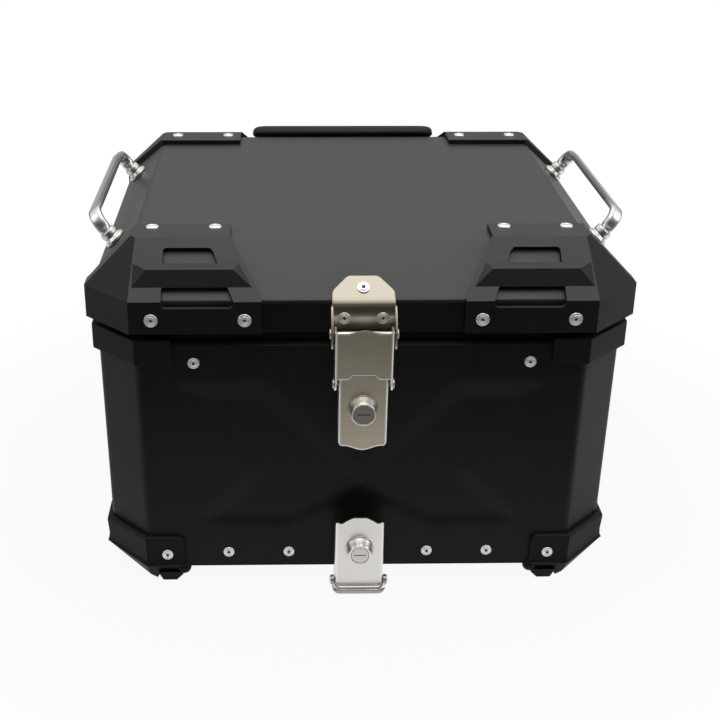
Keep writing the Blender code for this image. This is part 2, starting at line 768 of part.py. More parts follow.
def make_handles():
    neck = GAP + POST_HEIGHT + GAP
    for side_x, hand in ((-1, "left"), (1, "right")):
        foot, out, down = handle_frame(side_x)
        rise = Vector((side_x * math.sin(HANDLE_LEAN), 0.0, math.cos(HANDLE_LEAN)))
        over = Vector((side_x * math.cos(HANDLE_LEAN), 0.0, -math.sin(HANDLE_LEAN)))
        rings = []
        for along, height, angle, flat in handle_path():
            # The ends lie square on their posts and the rest leans further up
            up, across = (rise, over) if flat else (out, down)
            wide = HANDLE_NECK_RADIUS + (HANDLE_HALF_WIDTH - HANDLE_NECK_RADIUS) * flat
            thin = HANDLE_NECK_RADIUS + (HANDLE_HALF_THICKNESS - HANDLE_NECK_RADIUS) * flat
            normal = Vector((0, 1, 0)) * -math.sin(math.radians(angle)) + up * math.cos(math.radians(angle))
            centre = foot + Vector((0, along, 0)) + out * neck + rise * (height - neck)
            rings.append([centre + across * wide * c + normal * thin * s
                          for c, s in arc((0, 0), 1.0, 0, 345, 15)])
        shade(part("handle_" + hand, loft(rings), lid, POLISHED_ALLOY))
        for side_y, end in ((-1, "front"), (1, "back")):
            profile = [(0, POST_HEIGHT), (POST_RADIUS, POST_HEIGHT), (POST_RADIUS, POST_FLANGE_DEPTH),
                       (POST_FLANGE_RADIUS, POST_FLANGE_DEPTH), (POST_FLANGE_RADIUS, 0), (0, 0)]
            place = foot + out * GAP + Vector((0, side_y * HANDLE_HALF_SPAN, 0))
            turned(f"handle_post_{end}_{hand}", profile, place, out, lid, POLISHED_ALLOY)


def make_hinges():
    pivot = (HINGE_Y, HINGE_Z)
    bore = HINGE_PIN_RADIUS + HINGE_PIN_CLEARANCE
    half = HINGE_WIDTH / 2
    knuckle = HINGE_KNUCKLE / 2
    for side_x, hand in ((-1, "left"), (1, "right")):
        middle = side_x * HINGE_STATION
        start, end = middle - half, middle + half
        back = LID_HALF_Y + GAP
        foot = LID_BOTTOM + GAP
        outline = [(back, LID_BOTTOM + HINGE_LEAF_UP), (back + SHEET, LID_BOTTOM + HINGE_LEAF_UP),
                   (back + SHEET, foot + SHEET)] + arc(pivot, HINGE_RADIUS, 75, -195, 12) + [(back, foot)]
        leaf = part("hinge_lid_leaf_" + hand, prism_x(outline, start, end), lid, BLACK_COAT)
        for x0, x1 in ((start - GAP, middle - knuckle), (middle + knuckle, end + GAP)):
            low = (x0, back - GAP, HINGE_Z - 2 * HINGE_RADIUS)
            high = (x1, HINGE_Y + 2 * HINGE_RADIUS, foot + SHEET)
            cut(leaf, cutter("knuckle_gap", block(low, high), lid))
        cut(leaf, cutter("hinge_bore", rod_x(HINGE_Y, HINGE_Z, bore, start - GAP, end + GAP), lid))

        wall = BODY_HALF_Y + GAP + RIM_BAND_SHEET + GAP
        web = BODY_TOP + GAP + RIM_WEB
        outline = [(wall, BODY_TOP - HINGE_LEAF_DOWN), (wall + SHEET, BODY_TOP - HINGE_LEAF_DOWN),
                   (wall + SHEET, BODY_TOP)] + arc(pivot, HINGE_RADIUS, -75, 195, 12) + [(wall, web)]
        leaf = part("hinge_body_leaf_" + hand, prism_x(outline, start, end), case, BLACK_COAT)
        low = (middle - knuckle - GAP, wall - GAP, BODY_TOP)
        high = (middle + knuckle + GAP, HINGE_Y + 2 * HINGE_RADIUS, HINGE_Z + 2 * HINGE_RADIUS)
        cut(leaf, cutter("knuckle_gap", block(low, high), case))
        cut(leaf, cutter("hinge_bore", rod_x(HINGE_Y, HINGE_Z, bore, start - GAP, end + GAP), case))
        part("hinge_pin_" + hand, rod_x(HINGE_Y, HINGE_Z, HINGE_PIN_RADIUS, start, end), lid, BRIGHT_STEEL)


def make_back_pad():
    # A padded rest on the back slope: a coarse cage of sections from side to side, softened
    top_y = LID_TOP_HALF_Y + PAD_THICKNESS / 3
    crown = LID_TOP + PAD_RISE
    foot_width = guard_inner_edge(PAD_DOWN_SLOPE) - GUARD_THICKNESS
    section = [(slope_point(0, 0.0, GAP)[1:], 1.0), (slope_point(0, PAD_DOWN_SLOPE, GAP)[1:], 0.0),
               (slope_point(0, PAD_DOWN_SLOPE, PAD_THICKNESS)[1:], 0.0),
               (slope_point(0, PAD_DOWN_SLOPE / 2, PAD_THICKNESS)[1:], 0.5),
               ((top_y + PAD_THICKNESS, crown), 1.0), ((top_y, crown), 1.0)]
    rings = []
    for share, squeeze in ((-1.0, 0.9), (-0.97, 1.0), (-0.5, 1.0), (0.5, 1.0), (0.97, 1.0), (1.0, 0.9)):
        centre_y = sum(y for (y, z), upper in section) / len(section)
        centre_z = sum(z for (y, z), upper in section) / len(section)
        ring = []
        for (y, z), upper in section:
            width = foot_width + (PAD_HALF_WIDTH - foot_width) * upper
            ring.append((share * width, centre_y + (y - centre_y) * squeeze, centre_z + (z - centre_z) * squeeze))
        rings.append(ring)
    pad = part("back_pad", loft(rings), lid, PAD_SKIN)
    soften(pad, 2)
    shade(pad)


def make_latch_bracket():
    back = -LID_HALF_Y - GAP
    rows = []
    for out in (GAP, GAP + SHEET):
        x, crease_y, crease_z = slope_point(0, 1.0, 0.0, out)
        path = [(-LID_HALF_Y - out, LID_BOTTOM + BRACKET_FOOT), (-crease_y, crease_z)]
        for down in (BRACKET_SHOULDER, BRACKET_TOP):
            x, y, z = slope_point(0, down, 0.0, out)
            path.append((-y, z))
        rows.append(path)
    widths = (LATCH_HALF_WIDTH, LATCH_HALF_WIDTH, LATCH_HALF_WIDTH, BRACKET_TOP_HALF_WIDTH)
    rings = [[(-w, *inner), (w, *inner), (w, *outer), (-w, *outer)]
             for w, inner, outer in zip(widths, rows[0], rows[1])]
    bracket = part("latch_bracket", loft(rings), lid, SATIN_STEEL)
    end = (LATCH_UPPER_Y, LATCH_UPPER_Z - EAR_LENGTH + EAR_RADIUS)
    top = LID_CREASE - SHEET
    outline = [(back - SHEET / 2, top), (back - SHEET / 2, LID_BOTTOM + BRACKET_FOOT + SHEET)]
    outline += arc(end, EAR_RADIUS, 0, -180) + [(end[0] - EAR_RADIUS, LATCH_UPPER_Z + EAR_RADIUS),
                                                (back - EAR_RADIUS, top)]
    for x0 in (-ear_outer(), ear_outer() - SHEET):
        join(bracket, cutter("bracket_ear", prism_x(outline, x0, x0 + SHEET), lid))
    hole = rod_x(LATCH_UPPER_Y, LATCH_UPPER_Z, LATCH_PIN_RADIUS + GAP, -2 * ear_outer(), 2 * ear_outer())
    cut(bracket, cutter("bracket_hole", hole, lid))


def ear_outer():
    return LATCH_HALF_WIDTH + 2 * SHEET / 3


def headed_pin(name, half_length, place, radius, pivot):
    # A cross pin with a round head at each end
    neck = half_length - LATCH_HEAD_DEPTH
    head = radius + LATCH_HEAD_RADIUS - LATCH_PIN_RADIUS
    profile = [(0, half_length), (head, half_length), (head, neck), (radius, neck),
               (radius, -neck), (head, -neck), (head, -half_length), (0, -half_length)]
    turned(name, profile, place, (1, 0, 0), pivot, BRIGHT_STEEL, SMALL_STEPS)


def make_latch_pins():
    upper = ear_outer() + GAP + LATCH_HEAD_DEPTH
    headed_pin("latch_upper_pin", upper, (0, LATCH_UPPER_Y, LATCH_UPPER_Z), LATCH_PIN_RADIUS, lid)
    lower = LINK_HALF_WIDTH + GAP + LATCH_HEAD_DEPTH
    headed_pin("latch_lower_pin", lower, (0, LATCH_LOWER_Y, LATCH_LOWER_Z), LATCH_PIN_RADIUS, link)


def two_sides(half_width):
    # The start of each of a pair of sheet cheeks
    return -half_width, half_width - SHEET


def make_latch_link():
    top = LID_BOTTOM + LINK_TOP_RISE
    foot = LID_BOTTOM - LINK_FOOT_DROP
    half = LINK_HALF_WIDTH
    outline = [(-half, foot), (-half / 2, foot), (-half / 2 + LINK_NOTCH, foot + LINK_NOTCH),
               (half / 2 - LINK_NOTCH, foot + LINK_NOTCH), (half / 2, foot), (half, foot), (half, top)]
    outline += [(half / 2 * math.cos(math.pi * step / 8), top + LINK_ARCH * math.sin(math.pi * step / 8))
                for step in range(9)] + [(-half, top)]
    plate = part("latch_link", prism_y(outline, LINK_FRONT, LINK_FRONT + SHEET), link, SATIN_STEEL)
    upper = (LATCH_UPPER_Y, LATCH_UPPER_Z)
    lower = (LATCH_LOWER_Y, LATCH_LOWER_Z)
    cheek = [(LINK_FRONT, foot), (LINK_FRONT, top)] + arc(upper, EAR_RADIUS, 75, -30, 6)
    cheek += arc(lower, EAR_RADIUS, 0, -165, 8)
    for x0 in two_sides(half):
        join(plate, cutter("link_cheek", prism_x(cheek, x0, x0 + SHEET), link))
    for (y, z), fit in ((upper, LATCH_PIN_CLEARANCE), (lower, GAP)):
        cut(plate, cutter("link_hole", rod_x(y, z, LATCH_PIN_RADIUS + fit, -2 * half, 2 * half), link))


def make_latch_lever():
    top = LATCH_LOWER_Z + LEVER_TOP_RISE
    foot = LATCH_LOWER_Z - LEVER_LENGTH
    half = LEVER_HALF_WIDTH
    corner = LEVER_BULGE
    outline = [(-half, top), (-half, foot + corner), (-half + corner / 3, foot + corner / 3), (-half + corner, foot)]
    wave = half - 1.5 * corner
    outline += [(wave * share, foot - LEVER_BULGE * math.cos(math.pi * share / 2) ** 2)
                for share in [step / 8 - 1 for step in range(17)]]
    outline += [(half - corner, foot), (half - corner / 3, foot + corner / 3), (half, foot + corner), (half, top)]
    plate = part("latch_lever", prism_y(outline, LEVER_FRONT, LEVER_FRONT + SHEET), lever, SATIN_STEEL)
    back = LEVER_FRONT + LEVER_CHEEK_DEPTH
    ear = (LATCH_LOWER_Y, LATCH_LOWER_Z)
    cheek = [(LEVER_FRONT, foot + corner), (LEVER_FRONT, top)] + arc(ear, EAR_RADIUS, 90, 0, 5)
    cheek += [(back, LATCH_LOWER_Z - 2 * EAR_RADIUS), (back, foot + 2 * EAR_RADIUS),
              (back - EAR_RADIUS, foot + corner)]
    for x0 in two_sides(half):
        join(plate, cutter("lever_cheek", prism_x(cheek, x0, x0 + SHEET), lever))
    pin_hole = rod_x(*ear, LATCH_PIN_RADIUS + LATCH_PIN_CLEARANCE, -2 * half, 2 * half)
    cut(plate, cutter("lever_pin_hole", pin_hole, lever))
    cut(plate, cutter("lever_lock_hole", lock_hole(LEVER_FRONT, LOCK_Z), lever))


def lock_hole(front, height):
    return rod_y(0, height, LOCK_BARREL_RADIUS + GAP, front - SHEET, front + 2 * SHEET)


def make_lock(prefix, front, height, base, face, reach, plug_radius, cam_back, carrier, turning):
    # A lock through a lever plate: housing, nut, turning plug with its key slot, and cam
    seat = (0, front - GAP, height)
    outward = (0, -1, 0)
    floor = reach - LOCK_PLUG_DEPTH - 2 * LOCK_CLEARANCE
    bore = LOCK_STEM_RADIUS + LOCK_CLEARANCE
    recess = plug_radius + LOCK_CLEARANCE
    housing = [(recess, reach), (face, reach), (base, LOCK_BASE_DEPTH), (base, 0), (LOCK_BARREL_RADIUS, 0),
               (LOCK_BARREL_RADIUS, -LOCK_BARREL_LENGTH), (bore, -LOCK_BARREL_LENGTH), (bore, floor),
               (recess, floor)]
    turned(prefix + "lock_housing", housing, seat, outward, carrier, LOCK_CHROME)

    nut_front = front + SHEET + GAP
    flats = arc((0, height), LOCK_NUT_RADIUS, 0, 300, 5)
    nut = part(prefix + "lock_nut", prism_y(flats, nut_front, nut_front + LOCK_NUT_DEPTH), carrier, BRIGHT_STEEL)
    bore_rod = rod_y(0, height, LOCK_BARREL_RADIUS + GAP, nut_front - SHEET, nut_front + 2 * LOCK_NUT_DEPTH)
    cut(nut, cutter("nut_bore", bore_rod, carrier))

    face_level = reach - LOCK_CLEARANCE
    disc = face_level - LOCK_PLUG_DEPTH
    stub = LOCK_STEM_RADIUS - SHEET / 2
    cam_front = cam_back - CAM_SHEET
    shoulder = seat[1] - cam_front + GAP
    end = seat[1] - cam_back
    plug = [(0, face_level), (plug_radius, face_level), (plug_radius, disc), (LOCK_STEM_RADIUS, disc),
            (LOCK_STEM_RADIUS, shoulder), (stub, shoulder), (stub, end), (0, end)]
    body = turned(prefix + "lock_plug", plug, seat, outward, turning, LOCK_CHROME)
    half = LOCK_SLOT_LENGTH / 2
    face_y = seat[1] - face_level
    slot = block((-half, face_y - SHEET, height - LOCK_SLOT_WIDTH / 2),
                 (half, face_y + LOCK_SLOT_DEPTH, height + LOCK_SLOT_WIDTH / 2))
    cut(body, cutter("key_slot", slot, turning))

    blade = arc((0, height), CAM_HALF_WIDTH, 0, 180) + arc((0, height - CAM_LENGTH + CAM_HALF_WIDTH),
                                                           CAM_HALF_WIDTH, 180, 360)
    cam = part(prefix + "lock_cam", prism_y(blade, cam_front, cam_back), turning, BRIGHT_STEEL)
    hole = rod_y(0, height, stub + GAP, cam_front - SHEET, cam_back + SHEET, SMALL_STEPS)
    cut(cam, cutter("cam_hole", hole, turning))


def keeper_section(half, back):
    # Plan of a slotted catch: a plate on the wall, two sides, and two lips with a slot between
    plate = back - SHEET
    lip_back = plate - 2 * KEEPER_CAM_GAP - CAM_SHEET
    lip = lip_back - SHEET
    inside = half - SHEET
    return [(-half, back), (half, back), (half, lip), (KEEPER_SLOT, lip), (KEEPER_SLOT, lip_back),
            (inside, lip_back), (inside, plate), (-inside, plate), (-inside, lip_back),
            (-KEEPER_SLOT, lip_back), (-KEEPER_SLOT, lip), (-half, lip)]


def cam_back_from(back):
    return back - SHEET - KEEPER_CAM_GAP


def keeper_back():
    return front_wall(LOCK_Z + KEEPER_HALF_HEIGHT) - GAP


def make_latch_keeper():
    section = keeper_section(KEEPER_HALF_WIDTH, keeper_back())
    shape = prism_z(section, LOCK_Z - KEEPER_HALF_HEIGHT, LOCK_Z + KEEPER_HALF_HEIGHT)
    part("latch_keeper", shape, case, BRIGHT_STEEL)


def base_bracket_back():
    return front_wall(BASE_PLATE_TOP) - GAP


def base_bracket_half():
    return BASE_LEVER_HALF_WIDTH - SHEET - BASE_BRACKET_GAP


def make_base_bracket():
    back = base_bracket_back()
    half = base_bracket_half()
    plate = block((-half, back - SHEET, BASE_PLATE_BOTTOM), (half, back, BASE_PLATE_TOP))
    bracket = part("base_latch_bracket", plate, case, BRIGHT_STEEL)
    low = BASE_LOCK_HEIGHT - KEEPER_HALF_HEIGHT
    high = BASE_LOCK_HEIGHT + KEEPER_HALF_HEIGHT
    catch = prism_z(keeper_section(half, back - GAP), low, high)
    join(bracket, cutter("base_catch", catch, case))
    pivot = (BASE_PIVOT_Y, BASE_PIVOT_HEIGHT)
    top = low + SHEET
    ear = [(back - GAP, top), (back - GAP, BASE_PLATE_BOTTOM + SHEET)] + arc(pivot, BASE_EAR_RADIUS, -60, -200)
    ear += [(back - 4 * SHEET, top)]
    for x0 in two_sides(half):
        join(bracket, cutter("base_ear", prism_x(ear, x0, x0 + SHEET), case))
    hole = rod_x(*pivot, LATCH_PIN_RADIUS + GAP, -2 * half, 2 * half)
    cut(bracket, cutter("base_ear_hole", hole, case))
    pin_half = BASE_LEVER_HALF_WIDTH + GAP
    part("base_lever_pin", rod_x(*pivot, LATCH_PIN_RADIUS, -pin_half, pin_half), case, BRIGHT_STEEL)


def make_base_lever():
    half = BASE_LEVER_HALF_WIDTH
    corner = 2 * BASE_LEVER_DIP
    outline = [(-half, BASE_LEVER_TOP), (-half, BASE_LEVER_BOTTOM + corner), (-half + corner, BASE_LEVER_BOTTOM),
               (half - corner, BASE_LEVER_BOTTOM), (half, BASE_LEVER_BOTTOM + corner), (half, BASE_LEVER_TOP)]
    for step in range(1, 16):
        share = step / 16
        off = abs(share - 0.5)
        crest = math.cos(math.pi / 2 * min(1, off / 0.33)) ** 2
        dip = math.sin(math.pi * max(0, off - 0.26) / 0.24) ** 2
        rise = BASE_LEVER_WAVE * crest - BASE_LEVER_DIP * dip
        outline.append((half - 2 * half * share, BASE_LEVER_TOP + rise))
    front = BASE_LEVER_FRONT
    plate = part("base_lever", prism_y(outline, front, front + SHEET), base_lever, BRIGHT_STEEL)
    pivot = (BASE_PIVOT_Y, BASE_PIVOT_HEIGHT)
    back = front + BASE_CHEEK_DEPTH
    cheek = [(front, BASE_LEVER_BOTTOM + corner), (front, BASE_LEVER_TOP - corner),
             (front + BASE_EAR_RADIUS, BASE_LEVER_TOP - corner), (back, BASE_LOCK_HEIGHT + BASE_EAR_RADIUS)]
    cheek += arc(pivot, BASE_EAR_RADIUS, 20, -100, 6)
    for x0 in two_sides(half):
        join(plate, cutter("base_cheek", prism_x(cheek, x0, x0 + SHEET), base_lever))
    holes = ((pivot, LATCH_PIN_RADIUS + LATCH_PIN_CLEARANCE), ((STIRRUP_Y, STIRRUP_HEIGHT), STIRRUP_PIN_RADIUS + GAP))
    for place, radius in holes:
        cut(plate, cutter("base_lever_hole", rod_x(*place, radius, -2 * half, 2 * half), base_lever))
    cut(plate, cutter("base_lock_hole", lock_hole(front, BASE_LOCK_HEIGHT), base_lever))


def make_stirrup():
    front = STIRRUP_Y - STIRRUP_FRONT
    half = STIRRUP_HALF_WIDTH
    foot_back = front + STIRRUP_BAR_DEPTH
    bar = block((-half + GAP, front, STIRRUP_BOTTOM), (half - GAP, foot_back, STIRRUP_BOTTOM + STIRRUP_BAR_HEIGHT))
    bail = part("base_stirrup", bar, stirrup, BRIGHT_STEEL)
    leg = [(front, STIRRUP_BOTTOM + STIRRUP_BAR_HEIGHT), (front, STIRRUP_BOTTOM), (foot_back, STIRRUP_BOTTOM)]
    leg += arc((STIRRUP_Y, STIRRUP_HEIGHT), STIRRUP_EYE_RADIUS, -60, 140, 8)
    for x0 in (-half, half - STIRRUP_SHEET):
        join(bail, cutter("stirrup_leg", prism_x(leg, x0, x0 + STIRRUP_SHEET), stirrup))
    hole = rod_x(STIRRUP_Y, STIRRUP_HEIGHT, STIRRUP_PIN_RADIUS + LATCH_PIN_CLEARANCE, -2 * half, 2 * half)
    cut(bail, cutter("stirrup_hole", hole, stirrup))
    reach = half + GAP + LATCH_HEAD_DEPTH
    headed_pin("base_stirrup_pin", reach, (0, STIRRUP_Y, STIRRUP_HEIGHT), STIRRUP_PIN_RADIUS, base_lever)


def make_mount_hooks():
    top = BODY_BOTTOM - GAP
    under = top - HOOK_SHEET
    toe = top - HOOK_DROP
    back = BODY_HALF_Y - HOOK_SETBACK
    outline = [(back - HOOK_PLATE, top), (back, top), (back, toe), (back - HOOK_TOE, toe),
               (back - HOOK_TOE, toe + HOOK_SHEET), (back - HOOK_SHEET, toe + HOOK_SHEET),
               (back - HOOK_SHEET, under), (back - HOOK_PLATE, under)]
    for side_x, hand in ((-1, "left"), (1, "right")):
        middle = side_x * HOOK_HALF_SPACING
        shape = prism_x(outline, middle - HOOK_HALF_WIDTH, middle + HOOK_HALF_WIDTH)
        part("mount_hook_" + hand, shape, case, BRIGHT_STEEL)


clear_scene()
parts_collection = make_collection(CASE_NAME)
cutters_collection = make_collection(CASE_NAME + "_cutters")

# The case stands with its overall length centred on the origin
root = make_pivot("case_root", (0.0, 0.0, 0.0))
root.location = (0.0, CENTRING, 0.0)
case = root
lid = make_pivot("lid_pivot", (0.0, HINGE_Y, HINGE_Z), root)
link = make_pivot("link_pivot", (0.0, LATCH_UPPER_Y, LATCH_UPPER_Z), lid)
lever = make_pivot("lever_pivot", (0.0, LATCH_LOWER_Y, LATCH_LOWER_Z), link)
lock = make_pivot("lock_pivot", (0.0, LEVER_FRONT, LOCK_Z), lever)
base_lever = make_pivot("base_lever_pivot", (0.0, BASE_PIVOT_Y, BASE_PIVOT_HEIGHT), root)
base_lock = make_pivot("base_lock_pivot", (0.0, BASE_LEVER_FRONT, BASE_LOCK_HEIGHT), base_lever)
stirrup = make_pivot("stirrup_pivot", (0.0, STIRRUP_Y, STIRRUP_HEIGHT), base_lever)

make_body()
make_bottom_pan()
make_rim_frame()
make_rim_caps()
make_base_corners()
make_mount_hooks()
make_lid()
make_lid_seal()
make_lid_guards()
make_handles()
make_hinges()
make_back_pad()
make_latch_bracket()
make_latch_pins()
make_latch_link()
make_latch_lever()
make_latch_keeper()
make_lock("", LEVER_FRONT, LOCK_Z, LOCK_BASE_RADIUS, LOCK_FACE_RADIUS, LOCK_REACH, LOCK_PLUG_RADIUS,
          cam_back_from(keeper_back()), lever, lock)
make_base_bracket()
make_base_lever()
make_lock("base_", BASE_LEVER_FRONT, BASE_LOCK_HEIGHT, BASE_LOCK_BASE_RADIUS, BASE_LOCK_FACE_RADIUS,
          BASE_LOCK_REACH, BASE_LOCK_PLUG_RADIUS, cam_back_from(base_bracket_back() - GAP), base_lever, base_lock)
make_stirrup()
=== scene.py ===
# Motorcycle top case: finishes, rounded edges, rivets, handles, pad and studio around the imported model.
import json
import math

import bmesh
import bpy
import numpy as np
from mathutils import Matrix, Vector


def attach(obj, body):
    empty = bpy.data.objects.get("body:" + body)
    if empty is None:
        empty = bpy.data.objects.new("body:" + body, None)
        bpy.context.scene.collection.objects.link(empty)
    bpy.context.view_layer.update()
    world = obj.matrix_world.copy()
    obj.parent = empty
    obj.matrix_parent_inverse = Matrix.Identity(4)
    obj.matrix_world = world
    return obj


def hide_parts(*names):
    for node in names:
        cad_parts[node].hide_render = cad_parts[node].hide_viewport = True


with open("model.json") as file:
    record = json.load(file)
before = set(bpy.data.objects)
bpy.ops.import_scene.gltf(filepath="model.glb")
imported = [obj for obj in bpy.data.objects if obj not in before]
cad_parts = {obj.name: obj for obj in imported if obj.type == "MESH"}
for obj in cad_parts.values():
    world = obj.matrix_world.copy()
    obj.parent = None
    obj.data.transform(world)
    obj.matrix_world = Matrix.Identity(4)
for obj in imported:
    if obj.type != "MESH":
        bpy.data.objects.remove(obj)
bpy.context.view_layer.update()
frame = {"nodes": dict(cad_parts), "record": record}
nodes = frame["nodes"]
bodies = frame["record"]["behaviour"]["bodies"]
bodyOfNode = {node: body for body, members in bodies.items() for node in members}
slotOfNode = {row["node"]: row["material_slot"] for row in frame["record"]["subparts"]}

# The case stands this far towards +Y, so that its overall depth is centred
caseShift = 0.00925
toCase = np.array((0.0, caseShift, 0.0))
quarters = [(sx, sy) for sx in (-1, 1) for sy in (-1, 1)]
corners = [(sx, sy, ("front_" if sy < 0 else "back_") + ("left" if sx < 0 else "right"))
           for sx, sy in quarters]
hands = ((-1, "left"), (1, "right"))

# Lid measures that the drawn pieces follow, metres
lid = dict(halfX=0.212, halfY=0.202, crease=0.2523, top=0.2857, topHalfX=0.178, topHalfY=0.158,
           guardOut=0.0043)
slopeX = math.atan2(lid["top"] - lid["crease"], lid["halfX"] - lid["topHalfX"])
slopeY = math.atan2(lid["top"] - lid["crease"], lid["halfY"] - lid["topHalfY"])


# Camera: fitted to the photograph's frame of 720 by 720
viewFit = dict(place=(-0.0617, -1.08975, 0.6163), pitch=24.669, yaw=1.193, roll=0.221, focal=1275.96,
               across=307.0, size=720.0, sensor=36.0, nearest=0.01)


def aimCamera():
    pitch, yaw, roll = (math.radians(viewFit[key]) for key in ("pitch", "yaw", "roll"))
    forward = Vector((math.sin(yaw) * math.cos(pitch), math.cos(yaw) * math.cos(pitch), -math.sin(pitch)))
    right = Vector((math.cos(yaw), -math.sin(yaw), 0.0))
    up = right.cross(forward)
    turnedRight = right * math.cos(roll) + up * math.sin(roll)
    turnedUp = up * math.cos(roll) - right * math.sin(roll)
    data = bpy.data.cameras.new("photoCamera")
    data.sensor_width = viewFit["sensor"]
    data.lens = viewFit["focal"] / viewFit["size"] * viewFit["sensor"]
    data.shift_x = (viewFit["size"] / 2 - viewFit["across"]) / viewFit["size"]
    data.clip_start = viewFit["nearest"]
    camera = bpy.data.objects.new("photoCamera", data)
    bpy.context.scene.collection.objects.link(camera)
    axes = Matrix((turnedRight, turnedUp, -forward)).transposed().to_4x4()
    axes.translation = Vector(viewFit["place"])
    camera.matrix_world = axes
    bpy.context.scene.camera = camera


aimCamera()
print("camera set")


# Node helpers. A socket given as a value is linked, and anything else is set as the input's own value.
def setInput(tree, socket, value):
    if isinstance(value, bpy.types.NodeSocket):
        tree.links.new(value, socket)
    else:
        socket.default_value = value


def setInputs(tree, node, **values):
    # Inputs by name, with _ for a space
    for key, value in values.items():
        setInput(tree, node.inputs[key.replace("_", " ")], value)


def addNode(tree, kind, settings=(), **values):
    node = tree.nodes.new(kind)
    for key, value in dict(settings).items():
        setattr(node, key, value)
    setInputs(tree, node, **values)
    return node


def addMath(tree, operation, first, second=0.0, kind="ShaderNodeMath"):
    node = addNode(tree, kind, {"operation": operation})
    setInput(tree, node.inputs[0], first)
    setInput(tree, node.inputs[1], second)
    return node.outputs[0]


def addShares(tree, first, second, share):
    # A share of the first value and the rest of the second
    rest = addMath(tree, "MULTIPLY", second, 1 - share)
    return addMath(tree, "ADD", addMath(tree, "MULTIPLY", first, share), rest)


def addRamp(tree, value, fromLow, fromHigh, low=0.0, high=1.0, kind="SMOOTHSTEP"):
    return addNode(tree, "ShaderNodeMapRange", {"interpolation_type": kind}, Value=value, From_Min=fromLow,
                   From_Max=fromHigh, To_Min=low, To_Max=high).outputs[0]


def mapTo(tree, value, low, high):
    # Noise lies mostly between 0.3 and 0.7, so that range is spread over the one asked for
    return addRamp(tree, value, 0.3, 0.7, low, high, "LINEAR")


def mixColour(tree, factor, first, second):
    mix = addNode(tree, "ShaderNodeMix", {"data_type": "RGBA"}, Factor=factor)
    for socket, value in ((mix.inputs[6], first), (mix.inputs[7], second)):
        setInput(tree, socket, (*value, 1.0) if isinstance(value, tuple) else value)
    return mix.outputs[2]


def addBlend(tree, factor, first, second):
    mix = addNode(tree, "ShaderNodeMix", Factor=factor)
    setInput(tree, mix.inputs[2], first)
    setInput(tree, mix.inputs[3], second)
    return mix.outputs[0]


def addNoise(tree, place, scale, detail, roughness=0.5):
    settings = dict(Scale=scale, Detail=detail, Roughness=roughness)
    return addNode(tree, "ShaderNodeTexNoise", Vector=place, **settings).outputs[0]


def coordinate(tree, name):
    return tree.nodes.new("ShaderNodeTexCoord").outputs[name]


def splitVector(tree, vector):
    return addNode(tree, "ShaderNodeSeparateXYZ", Vector=vector).outputs


# Node groups shared by the finishes. Each input has its first value, a number, or a vector where three are
# given. Outputs are numbers.
def newGroup(name, inputs, outputs):
    group = bpy.data.node_groups.new(name, "ShaderNodeTree")
    for label, value in inputs.items():
        kind = "NodeSocketVector" if isinstance(value, tuple) else "NodeSocketFloat"
        group.interface.new_socket(label, in_out="INPUT", socket_type=kind).default_value = value
    for label in outputs:
        group.interface.new_socket(label, in_out="OUTPUT", socket_type="NodeSocketFloat")
    return group, group.nodes.new("NodeGroupInput").outputs, group.nodes.new("NodeGroupOutput")


# Fine grain: two sizes of noise for the bump, and a slow drift for colour and gloss
def makeGrainGroup():
    group, given, out = newGroup("fineGrain", {"Scale": 900.0, "Drift Scale": 9.0}, ("Height", "Drift"))
    place = coordinate(group, "Object")
    fine = addNoise(group, place, given["Scale"], 2.0)
    broad = addNoise(group, place, addMath(group, "MULTIPLY", given["Scale"], 0.31), 3.0, 0.55)
    drift = addNoise(group, place, given["Drift Scale"], 4.0, 0.6)
    setInputs(group, out, Height=addShares(group, fine, broad, 0.55), Drift=drift)
    return group


# Edge rub and highlight: lighter where the surface bends outwards, broken up by noise. Partly edge wear,
# partly a painted highlight along the edges.
def makeRubAndHighlightGroup():
    group, given, out = newGroup("edgeRubAndHighlight", {"Start": 0.53, "End": 0.62}, ("Mask",))
    bend = group.nodes.new("ShaderNodeNewGeometry").outputs["Pointiness"]
    ramp = addRamp(group, bend, given["Start"], given["End"], kind="LINEAR")
    noise = addNoise(group, coordinate(group, "Object"), 140.0, 4.0)
    setInputs(group, out, Mask=addMath(group, "MULTIPLY", ramp, noise))
    return group


# Brushed lines: noise drawn out along one axis of the case
def makeBrushGroup():
    group, given, out = newGroup("brushedLines", {"Stretch": (40.0, 900.0, 900.0)}, ("Lines", "Drift"))
    place = coordinate(group, "Object")
    drawn = addMath(group, "MULTIPLY", place, given["Stretch"], "ShaderNodeVectorMath")
    lines = addNoise(group, drawn, 1.0, 3.0, 0.6)
    setInputs(group, out, Lines=lines, Drift=addNoise(group, place, 22.0, 3.0))
    return group


# Up-facing mask: how far the piece's own surface points upwards, as a soft step, and less on the corner
# facets.
# Ledge and Under tell the slight upward and downward tilts on a nearly upright wall. The black finishes use
# it
# for painted light from above: faces that look up are greyer and glossier.
def makeUpGroup():
    group, given, out = newGroup("upFacing", {"Start": 0.56, "End": 0.74}, ("Mask", "Ledge", "Under"))
    x, y, z = splitVector(group, coordinate(group, "Normal"))
    corner = addMath(group, "ABSOLUTE", addMath(group, "MULTIPLY", x, y))
    kept = addRamp(group, corner, 0.10, 0.20, 1.0, 0.12, "LINEAR")
    mask = addMath(group, "MULTIPLY", addRamp(group, z, given["Start"], given["End"]), kept)
    ledgeLight, under = addRamp(group, z, -0.03, 0.11), addRamp(group, z, -0.16, -0.03)
    setInputs(group, out, Mask=mask, Ledge=ledgeLight, Under=under)
    return group


grainGroup = makeGrainGroup()
rubAndHighlightGroup = makeRubAndHighlightGroup()
brushGroup = makeBrushGroup()
upGroup = makeUpGroup()


